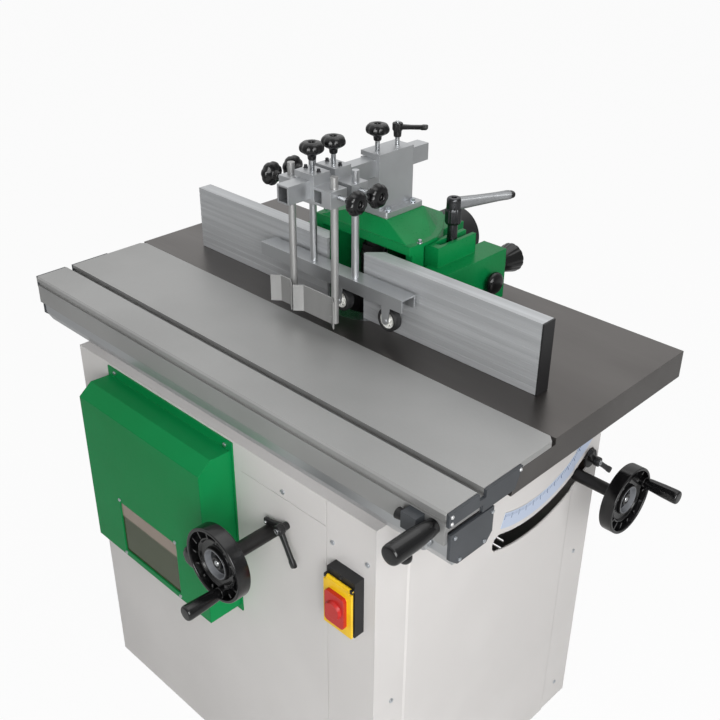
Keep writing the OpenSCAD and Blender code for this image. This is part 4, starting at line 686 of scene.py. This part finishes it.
star_profile = eased(
    [
        (0, 0), (6.4, 0), (7.2, 8), (9.2, 9.5), (13.5, 11.5), (20, 15.5), (20.3, 22.5), (16.5, 28.6),
        (8, 30), (5.2, 28.6), (4.8, 24), (0, 24),
    ],
    4.2,
)
star_shape = grown(
    lathe(star_profile, 112), lobe_rule, bakelite, {"Lobes": 7, "Depth": 1.3, "Inner": 11.0, "Outer": 19.5}
)
knob_seat_z = 1.1223
front_row_y, rear_row_y = -0.054, -0.007
up_right = {
    "column_knob": ("column_star", (0, 0.095), 25),
    "front_cross_knob": ("front_star", (0, front_row_y), 26),
    "rear_cross_knob": ("rear_star", (0, rear_row_y), 26),
}
for node, (body, (x, y), stud) in up_right.items():
    shank = lathe([(0, 0), (3.6, 0), (4, 0.6), (4, stud + 1), (0, stud + 1)], 32)
    raised = [(px, py, pz + stud) for px, py, pz in star_shape[0]], star_shape[1]
    place = Matrix.Translation((x, y, knob_seat_z))
    build(node + "_star", [(shank, stud_steel), (raised, bakelite)], body, place, [node])
for row, y in (("front", front_row_y), ("rear", rear_row_y)):
    for side, sign in (("left", -1), ("right", 1)):
        shank = lathe([(0, 0), (3.6, 0), (4, 0.6), (4, 23), (0, 23)], 32)
        raised = [(px, py, pz + 22) for px, py, pz in star_shape[0]], star_shape[1]
        place = Matrix.Translation((sign * 0.05655, y, 1.1025))
        place = place @ Matrix.Rotation(sign * math.pi / 2, 4, "Y")
        node = f"{row}_{side}_knob"
        star_parts = [(shank, stud_steel), (raised, bakelite)]
        build(node + "_star", star_parts, f"{row}_{side}_star", place, [node])

# Knobs of the cover, the carrier and the fence.
# The same black thermoset: a lobed knob holds the cover, a ball-like one locks the carrier, and a long
# cone with a flat face and shallow flutes shifts it.
cover_profile = eased([(0, 12.3), (13, 12.3), (18.5, 15), (20, 20), (19, 25.5), (13, 28.3), (0, 28.6)], 3)
cover_shape = grown(
    lathe(cover_profile, 112), lobe_rule, bakelite, {"Lobes": 7, "Depth": 2.2, "Inner": 10.0, "Outer": 19.0}
)
shank = lathe([(0, 0), (4, 0), (4, 12.5), (0, 12.5)], 32)
place = Matrix.Translation((0.036, -0.3495, 0.557)) @ Matrix.Rotation(math.pi / 2, 4, "X")
cover_parts = [(shank, stud_steel), (cover_shape, bakelite)]
build("cover_latch_knob", cover_parts, "cover_latch", place, ["cover_knob"])

ball_profile = eased(
    [(0, 8.3), (8.6, 8.3), (9, 12), (14, 12.4), (20, 16), (20.6, 23), (15, 28.6), (6, 30), (0, 30)], 5
)
shank = lathe([(0, 0), (4, 0), (4, 8.5), (0, 8.5)], 32)
place = Matrix.Translation((0.160, 0.206, 0.910)) @ Matrix.Rotation(math.pi / 2, 4, "Y")
ball_parts = [(shank, stud_steel), (lathe(ball_profile, 80), bakelite)]
build("carrier_lock_knob", ball_parts, "carrier_lock", place, ["carrier_knob"])

flute_profile = eased(
    [
        (0, 0.3), (14, 0.3), (14, 5), (16.5, 6.5), (20.5, 20), (25, 36), (26.5, 42), (26.5, 46.5),
        (24, 49), (15, 49.2), (13, 47.4), (0, 47.4),
    ],
    2.5,
)
flute_shape = grown(
    lathe(flute_profile, 144), lobe_rule, bakelite, {"Lobes": 14, "Depth": 0.7, "Inner": 17.0, "Outer": 24.0}
)
shank = lathe([(0, -46), (6, -46), (6, 0.5), (0, 0.5)], 32)
place = Matrix.Translation((0.148, 0.251, 0.922)) @ Matrix.Rotation(-math.pi / 2, 4, "X")
shift_parts = [(shank, stud_steel), (flute_shape, bakelite)]
build("fence_shift_knob", shift_parts, "fence_screw", place, ["fence_knob"])

# Handwheels.
# Dished wheels moulded in glossy black plastic, with square pockets inside a deep rim, a cup in the hub
# coloured grey as a painted highlight for light on its inner wall, a bright domed screw and a turning grip on
# a steel pin.
rib_rule, rib, rib_end = node_rule(
    "ribs_round_a_wheel", [("Count", "Int"), ("Radius", "Float"), ("Size", "Vector"), ("Height", "Float")]
)
ring = add(
    rib_rule,
    "GeometryNodeMeshCircle",
    {"fill_type": "NONE"},
    {"Vertices": rib["Count"], "Radius": rib["Radius"]},
)
lift = add(rib_rule, "ShaderNodeCombineXYZ", None, {"Z": rib["Height"]})
raised = add(
    rib_rule,
    "GeometryNodeSetPosition",
    None,
    {"Geometry": ring.outputs[0], "Offset": lift.outputs[0]},
)
where_now = add(rib_rule, "GeometryNodeInputPosition").outputs[0]
parts = add(rib_rule, "ShaderNodeSeparateXYZ", None, {0: where_now})
bearing = add(
    rib_rule,
    "ShaderNodeMath",
    {"operation": "ARCTAN2"},
    {0: parts.outputs["Y"], 1: parts.outputs["X"]},
)
turned_to = add(rib_rule, "ShaderNodeCombineXYZ", None, {"Z": bearing.outputs[0]})
cube = add(rib_rule, "GeometryNodeMeshCube", None, {"Size": rib["Size"]})
stood = add(
    rib_rule,
    "GeometryNodeInstanceOnPoints",
    None,
    {"Points": raised.outputs[0], "Instance": cube.outputs[0], "Rotation": turned_to.outputs[0]},
)
joined = add(rib_rule, "GeometryNodeJoinGeometry")
rib_rule.links.new(rib["Blank"], joined.inputs[0])
rib_rule.links.new(stood.outputs[0], joined.inputs[0])
real = add(rib_rule, "GeometryNodeRealizeInstances", None, {0: joined.outputs[0]})
dressed = add(
    rib_rule,
    "GeometryNodeSetMaterial",
    None,
    {"Geometry": real.outputs[0], "Material": rib["Finish"]},
)
rib_rule.links.new(dressed.outputs[0], rib_end.inputs["Piece"])

wheel_profile = eased(
    [
        (0, 0), (17, 0), (17, 1.5), (46, 3.5), (55, 1), (57, -4), (61.8, -4), (62.5, -3), (62.5, 18.8),
        (61.6, 20), (57.8, 20), (56.8, 19), (55.6, 6), (44.4, 5.6), (43.6, 12.6), (41, 13), (38, 9),
        (28, 8), (27.2, 14.6), (26, 15), (24.6, 14.6), (23.8, 5), (0, 5),
    ],
    0.9,
)
# The grey of the hub cup is a painted highlight: it stands for light falling on the cup's inner wall.
painted_lit_cup = new_finish("hub_cup_painted_highlight", "#6E7074", 0.4)
cloud(painted_lit_cup, "#737579", "#696B6F", 12)
grain(painted_lit_cup, 1.0, 0.02, 0.36, 0.46)
wheel_shape = grown(
    lathe(wheel_profile, 96),
    rib_rule,
    bakelite,
    {"Count": 14, "Radius": 49.8, "Size": (11.4, 3.4, 10.5), "Height": 10.6},
)
cup = lathe(
    eased([(0, 4.8), (24.4, 4.8), (24.9, 14.9), (23.6, 14.9), (22.4, 6), (21.5, 5.4), (0, 5.4)], 0.4), 72
)
hub_outline = [(0, 5.2), (20.5, 5.2), (20, 6.4), (11.5, 7), (10.5, 11.5), (7.4, 12), (6.6, 9), (0, 9)]
hub = lathe(eased(hub_outline, 0.8), 56)
dome = lathe(eased([(0, 8.8), (5.2, 8.8), (5.2, 11), (3.8, 12.6), (0, 12.9)], 1.5), 32)
crank_mm = 47
boss = lathe(eased([(0, 4), (9.5, 4), (9, 20), (0, 20)], 1), 40)
boss = [(x + crank_mm, y, z) for x, y, z in boss[0]], boss[1]
pin = lathe([(0, 4), (5, 4), (5, 75), (0, 75)], 32)
pin = [(x + crank_mm, y, z) for x, y, z in pin[0]], pin[1]
grip_profile = eased(
    [(0, 0), (8.6, 0), (9.4, 3), (10.2, 8), (11.8, 33), (12.5, 55), (12.2, 61), (10.6, 63), (0, 63)], 2.5
)
grip_shape = lathe(grip_profile, 56)
grip_shape = [(x + crank_mm, y, z + 20.3) for x, y, z in grip_shape[0]], grip_shape[1]
at_front = Matrix.Translation((0.158, -0.398, 0.642)) @ Matrix.Rotation(math.pi / 2, 4, "X")
at_front = at_front @ Matrix.Rotation(math.radians(-75), 4, "Z")
at_right = Matrix.Translation((0.469, 0.2275, 0.592)) @ Matrix.Rotation(math.pi / 2, 4, "Y")
at_right = at_right @ Matrix.Rotation(math.radians(112), 4, "Z")
for drive, place in (("tilt", at_front), ("height", at_right)):
    wheel_parts = [(wheel_shape, bakelite), (boss, bakelite), (cup, painted_lit_cup), (hub, bakelite)]
    wheel_parts += [(dome, stud_steel), (pin, stud_steel)]
    wheel_node, grip_node = drive + "_handwheel", drive + "_crank_grip"
    build(drive + "_wheel_dressed", wheel_parts, drive + "_drive", place, [wheel_node])
    grip_parts = [(grip_shape, bakelite)]
    build(drive + "_grip_dressed", grip_parts, drive + "_grip", place, [grip_node])

# Clamp levers.
# Die-cast levers with a satin black coat: a ribbed hub, a bright socket screw in its top and a flat arm with
# a squared end. The lever on the hood has a dark chromed hub and a long plain zinc arm.
lever_coat = new_finish("satin_black_lever_coat", "#141415", 0.36)
cloud(lever_coat, "#181819", "#101011", 30)
grain(lever_coat, 1.0, 0.02, 0.32, 0.42)


def limb(stations, square=4.0, around=32):
    """A closed arm along X through (x, z, half width, half height) stations in mm, with rounded corners."""
    points, faces = [], []
    for x, z, wide, high in stations:
        for i in range(around):
            t = math.tau * i / around
            c, s = math.cos(t), math.sin(t)
            squash = 1 / (abs(c) ** square + abs(s) ** square) ** (1 / square)
            points.append((x, wide * c * squash, z + high * s * squash))
    for k in range(len(stations) - 1):
        for i in range(around):
            j = (i + 1) % around
            a, b = k * around, (k + 1) * around
            faces.append([a + i, a + j, b + j, b + i])
    for k, step in ((0, -1), (len(stations) - 1, 1)):
        x, z, wide, high = stations[k]
        points.append((x + step * min(wide, high) * 0.2, 0, z))
        for i in range(around):
            j = (i + 1) % around
            rim = [k * around + i, k * around + j]
            faces.append([rim[1], rim[0], len(points) - 1] if k == 0 else [*rim, len(points) - 1])
    return points, faces


def turned_by(shape, degrees, up=0.0):
    """The shape turned about Z and lifted, in mm."""
    c, s = math.cos(math.radians(degrees)), math.sin(math.radians(degrees))
    return [(x * c - y * s, x * s + y * c, z + up) for x, y, z in shape[0]], shape[1]


def flat_arm(reach, low, rise, wide, high):
    """A lever's arm: it leaves the hub, narrows a little and ends in a squared pad."""
    return limb(
        [
            (0, low, wide * 0.9, high), (wide * 1.4, low + rise * 0.1, wide * 0.9, high),
            (reach * 0.45, low + rise * 0.4, wide * 0.8, high * 0.86),
            (reach * 0.78, low + rise * 0.8, wide * 0.88, high * 0.86),
            (reach * 0.84, low + rise * 0.86, wide, high * 1.05), (reach * 0.97, low + rise, wide, high),
            (reach, low + rise, wide * 0.86, high * 0.8),
        ]
    )


def black_lever(stud, stud_radius, hub, tall, arm, rise, degrees):
    """Stud, hub, socket screw and arm of a clamp lever, standing on z = 0."""
    top = stud + tall
    shank = lathe([(0, 0), (stud_radius, 0), (stud_radius, stud + 1), (0, stud + 1)], 32)
    sleeve = [(0, stud), (hub * 0.72, stud), (hub * 0.78, stud + tall * 0.42), (hub, stud + tall * 0.5)]
    barrel = lathe(eased([*sleeve, (hub, top - 1), (hub * 0.9, top), (0, top)], 1.2), 72)
    flutes = {"Lobes": 12, "Depth": 0.6, "Inner": hub * 0.8, "Outer": hub}
    barrel = grown(barrel, lobe_rule, lever_coat, flutes)
    ring = [(0, top - 0.5), (4.6, top - 0.5), (4.6, top + 2.2), (2.6, top + 2.2)]
    ring += [(2.4, top + 0.4), (0, top + 0.4)]
    screw = lathe(eased(ring, 0.4), 28)
    socket = lathe([(0, top + 0.2), (2.5, top + 0.2), (2.5, top + 0.9), (0, top + 0.9)], 6)
    reach = turned_by(flat_arm(arm, stud + tall * 0.7, rise, hub * 0.64, tall * 0.17), degrees)
    black = [(barrel, lever_coat), (socket, lever_coat), (reach, lever_coat)]
    return [(shank, stud_steel), (screw, stud_steel)] + black


place = Matrix.Translation((0, 0.144, knob_seat_z))
parts = black_lever(22, 4, 9, 24, 52, 4, 25)
build("column_clamp_lever", parts, "column_clamp", place, ["column_lever"])
place = Matrix.Translation((0.190, -0.284, 0.668)) @ Matrix.Rotation(math.pi / 2, 4, "X")
short_arm = flat_arm(41, 18, 2.6, 6, 3.8)
tip = lathe(eased([(0, 21), (2.6, 21), (2.6, 25.4), (1.6, 26.2), (0, 26.4)], 0.5), 24)
tip = [(x + 36, y, z) for x, y, z in tip[0]], tip[1]
parts = black_lever(10.3, 5, 9, 22, 64, 2, -59)
parts += [(turned_by(short_arm, 190), lever_coat), (turned_by(tip, 190), stud_steel)]
build("front_clamp_lever", parts, "front_lock", place, ["front_lock_lever"])
place = Matrix.Translation((0.336, 0.26186, 0.61259)) @ Matrix.Rotation(math.pi / 2, 4, "Y")
stud = lathe([(0, 0), (6, 0), (6, 44.5), (0, 44.5)], 32)
washer = lathe(eased([(0, 43.8), (18, 43.8), (18, 47.8), (0, 47.8)], 0.8), 56)
parts = [(stud, stud_steel), (washer, blackened)]
parts += [(turned_by(shape, 0, 46.8), finish) for shape, finish in black_lever(1, 6, 9, 18, 55, 6, 48)]
parts.append((turned_by(flat_arm(33, 53, 2.6, 6, 3.8), 216), lever_coat))
build("tilt_clamp_lever", parts, "right_lock", place, ["right_lock_lever"])

dark_chrome = new_finish("dark_chromed_hub", "#4A4B4D", 0.24, 0.95)
cloud(dark_chrome, "#505153", "#434446", 14)
grain(dark_chrome, 0.8, 0.01, 0.2, 0.3)
zinc_arm = new_finish("bare_zinc_casting", "#939597", 0.42, 0.7)
cloud(zinc_arm, "#989A9C", "#8C8E90", 24)
grain(zinc_arm, 1.2, 0.02, 0.38, 0.46)
foot = lathe(eased([(0, 5), (9.4, 5), (9.4, 8.2), (0, 8.2)], 0.5), 48)
tube = lathe(eased([(0, 0.3), (6, 0.3), (6, 5.2), (8.8, 5.2), (8.8, 168), (0, 168)], 0.6), 48)
low_hub = lathe(eased([(0, 160), (12.6, 160), (14, 163), (13.8, 184), (12.6, 188), (0, 188)], 1.2), 84)
low_hub = grown(low_hub, lobe_rule, dark_chrome, {"Lobes": 14, "Depth": 0.9, "Inner": 11.5, "Outer": 13.4})
cap = [(0, 187), (12.4, 187), (12.2, 203), (10.6, 206), (4.6, 206), (4.2, 201), (0, 201)]
high_hub = lathe(eased(cap, 1.1), 64)
bar = [
    (6, 195, 7.6, 10.6), (14, 195.6, 7.4, 10.2), (40, 198, 6.4, 8.8),
    (66, 200.6, 6.4, 7.6), (78, 202, 7.2, 7.0),
    (92, 203.4, 9.0, 6.6), (98, 204, 9, 6.0),
]
tip = [(97, 203.9, 9.1, 5.9), (102, 204.2, 8.4, 5.4), (105, 204.4, 6.4, 4.2), (106.2, 204.4, 4.0, 2.8)]
place = Matrix.Translation((0.123, 0.153, 0.860))
parts = [(tube, dark_chrome), (foot, stud_steel), (low_hub, dark_chrome), (high_hub, dark_chrome)]
parts += [(turned_by(limb(bar), 56.8), zinc_arm), (turned_by(limb(tip, 3.0), 56.8), lever_coat)]
build("carrier_clamp_lever", parts, "hood_clamp", place, ["hood_lever"])

# The clamp of the slide rail has a steel hub and a thin steel arm with a black ball.
place = Matrix.Translation((0.461, -0.286, 0.794)) @ Matrix.Rotation(math.pi / 2, 4, "X")
hub = lathe(eased([(0, 0.3), (9, 0.3), (10, 1.5), (10, 11), (8.6, 12.3), (0, 12.3)], 0.8), 48)
thin_arm = limb([(4, 8, 4.2, 3.0), (14, 10, 3.6, 2.8), (30, 15, 3.2, 2.8), (36, 17.4, 3.0, 2.6)], 2.4)
half_turn = [math.pi * k / 24 for k in range(25)]
ball = lathe([(10 * math.sin(t), 18 - 10 * math.cos(t)) for t in half_turn], 48)
ball = [(x - 21, y - 32, z) for x, y, z in ball[0]], ball[1]
parts = [(hub, stud_steel), (turned_by(thin_arm, -123.3), stud_steel), (ball, bakelite)]
build("rail_clamp_lever", parts, "rail_lock", place, ["rail_lock_lever"])

# Push handle of the sliding table.
# A slim black grip, turned from thermoset and polished, that widens a little towards its end.
handle_profile = eased(
    [(0, 0), (11, 0), (11.4, 4), (12.6, 12), (14.6, 34), (15, 60), (15, 80), (13.6, 85), (8, 86), (0, 86)], 4
)
place = Matrix.Translation((0.478, -0.294, 0.832)) @ Matrix.Rotation(math.pi / 2, 4, "X")
handle_parts = [(lathe(handle_profile, 64), bakelite)]
build("push_handle", handle_parts, "slide", place, ["slide_handle"])

# Plated caps close the three screw holes in the slide's right end plate.
plated = new_finish("bright_nickel_plate", "#DCDDDD", 0.26, 0.7)
cloud(plated, "#E2E2E2", "#D4D5D6", 4)
grain(plated, 1.0, 0.01, 0.22, 0.32)
cap_shape = lathe(eased([(0, -0.5), (2.9, -0.5), (2.9, 0.8), (2.2, 1.7), (0, 1.9)], 0.5), 28)
caps = []
for y, z in ((-0.2865, 0.8535), (-0.2865, 0.8425), (-0.1430, 0.8545)):
    there = Matrix.Translation((0, y * 1000, z * 1000)) @ Matrix.Rotation(math.pi / 2, 4, "Y")
    spots = [there @ Vector(point) for point in cap_shape[0]]
    caps.append((([(x + 501, y_mm, z_mm) for x, y_mm, z_mm in spots], cap_shape[1]), plated))
build("slide_plate_caps", caps, "slide")

# Pressure rollers.
# A white nylon hub with eight spokes, a black rubber tyre and a steel axle.
nylon = new_finish("white_nylon_wheel", "#E4E4E0", 0.4)
cloud(nylon, "#E9E9E6", "#DCDCD7", 10)
grain(nylon, 1.0, 0.02, 0.34, 0.5)
tyre_rubber = new_finish("black_tyre_rubber", "#1B1B1C", 0.55)
cloud(tyre_rubber, "#232324", "#131314", 6)
grain(tyre_rubber, 0.6, 0.04, 0.46, 0.66)
tyre = lathe(
    [
        (0, 6), (13.5, 6), (14, 2.6), (15.5, 0.6), (18.6, 0.2), (20.4, 1.6), (21, 4), (21, 12.6), (20.4, 15),
        (18.6, 16.4), (15.5, 16), (14, 14), (13.5, 10.6), (0, 10.6),
    ],
    80,
)
hub_profile = eased(
    [
        (0, 0.4), (5.5, 0.4), (6.5, 2), (6.5, 5.4), (12, 6.2), (12.6, 2.4), (14.6, 1.8), (14.6, 14.8),
        (12.6, 14.2), (12, 10.4), (6.5, 11.2), (6.5, 14.6), (5.5, 16.2), (0, 16.2),
    ],
    0.5,
)
spoked = grown(
    lathe(hub_profile, 64),
    rib_rule,
    nylon,
    {"Count": 8, "Radius": 9.6, "Size": (7.0, 1.6, 11.6), "Height": 8.3},
)
for side, x in (("left", 0.021), ("right", 0.130)):
    place = Matrix.Translation((x, -0.0153, 0.899)) @ Matrix.Rotation(-math.pi / 2, 4, "X")
    wheel_parts = [(tyre, tyre_rubber), (spoked, nylon)]
    build(side + "_pressure_wheel", wheel_parts, "roller_" + side, place, [side + "_roller"])

# The switch.
# A black box with a yellow hinged flap, whose red paddle presses the stop button behind it.
yellow_abs = new_finish("yellow_abs_flap_with_red_paddle", "#F0C412", 0.32)
yellow = cloud(yellow_abs, "#F2C815", "#E9BC0E", 30)
grain(yellow_abs, 1.2, 0.02, 0.28, 0.38, edge_mm=1.0)
material, tree, shader, where = yellow_abs
# The paddle is a red moulding clipped on the flap, all that stands more than 0.3 mm proud of its face.
paddle_y = -0.3208
inward = add(tree, "ShaderNodeSeparateXYZ", None, {0: where})
paddle = add(tree, "ShaderNodeMath", {"operation": "LESS_THAN"}, {0: inward.outputs["Y"], 1: paddle_y})
stop_red = linear("#B8201C")
red_part = add(tree, "ShaderNodeMix", {"data_type": "RGBA"}, {0: paddle.outputs[0], 6: yellow, 7: stop_red})
tree.links.new(red_part.outputs[2], shader.inputs["Base Color"])
dress(yellow_abs, "switch_flap")
green_abs = new_finish("green_abs_button", "#1F9A4C", 0.3)
cloud(green_abs, "#23A452", "#1A8A42", 10)
grain(green_abs, 1.0, 0.03, 0.24, 0.38, edge_mm=0.8)
dress(green_abs, "start_button")
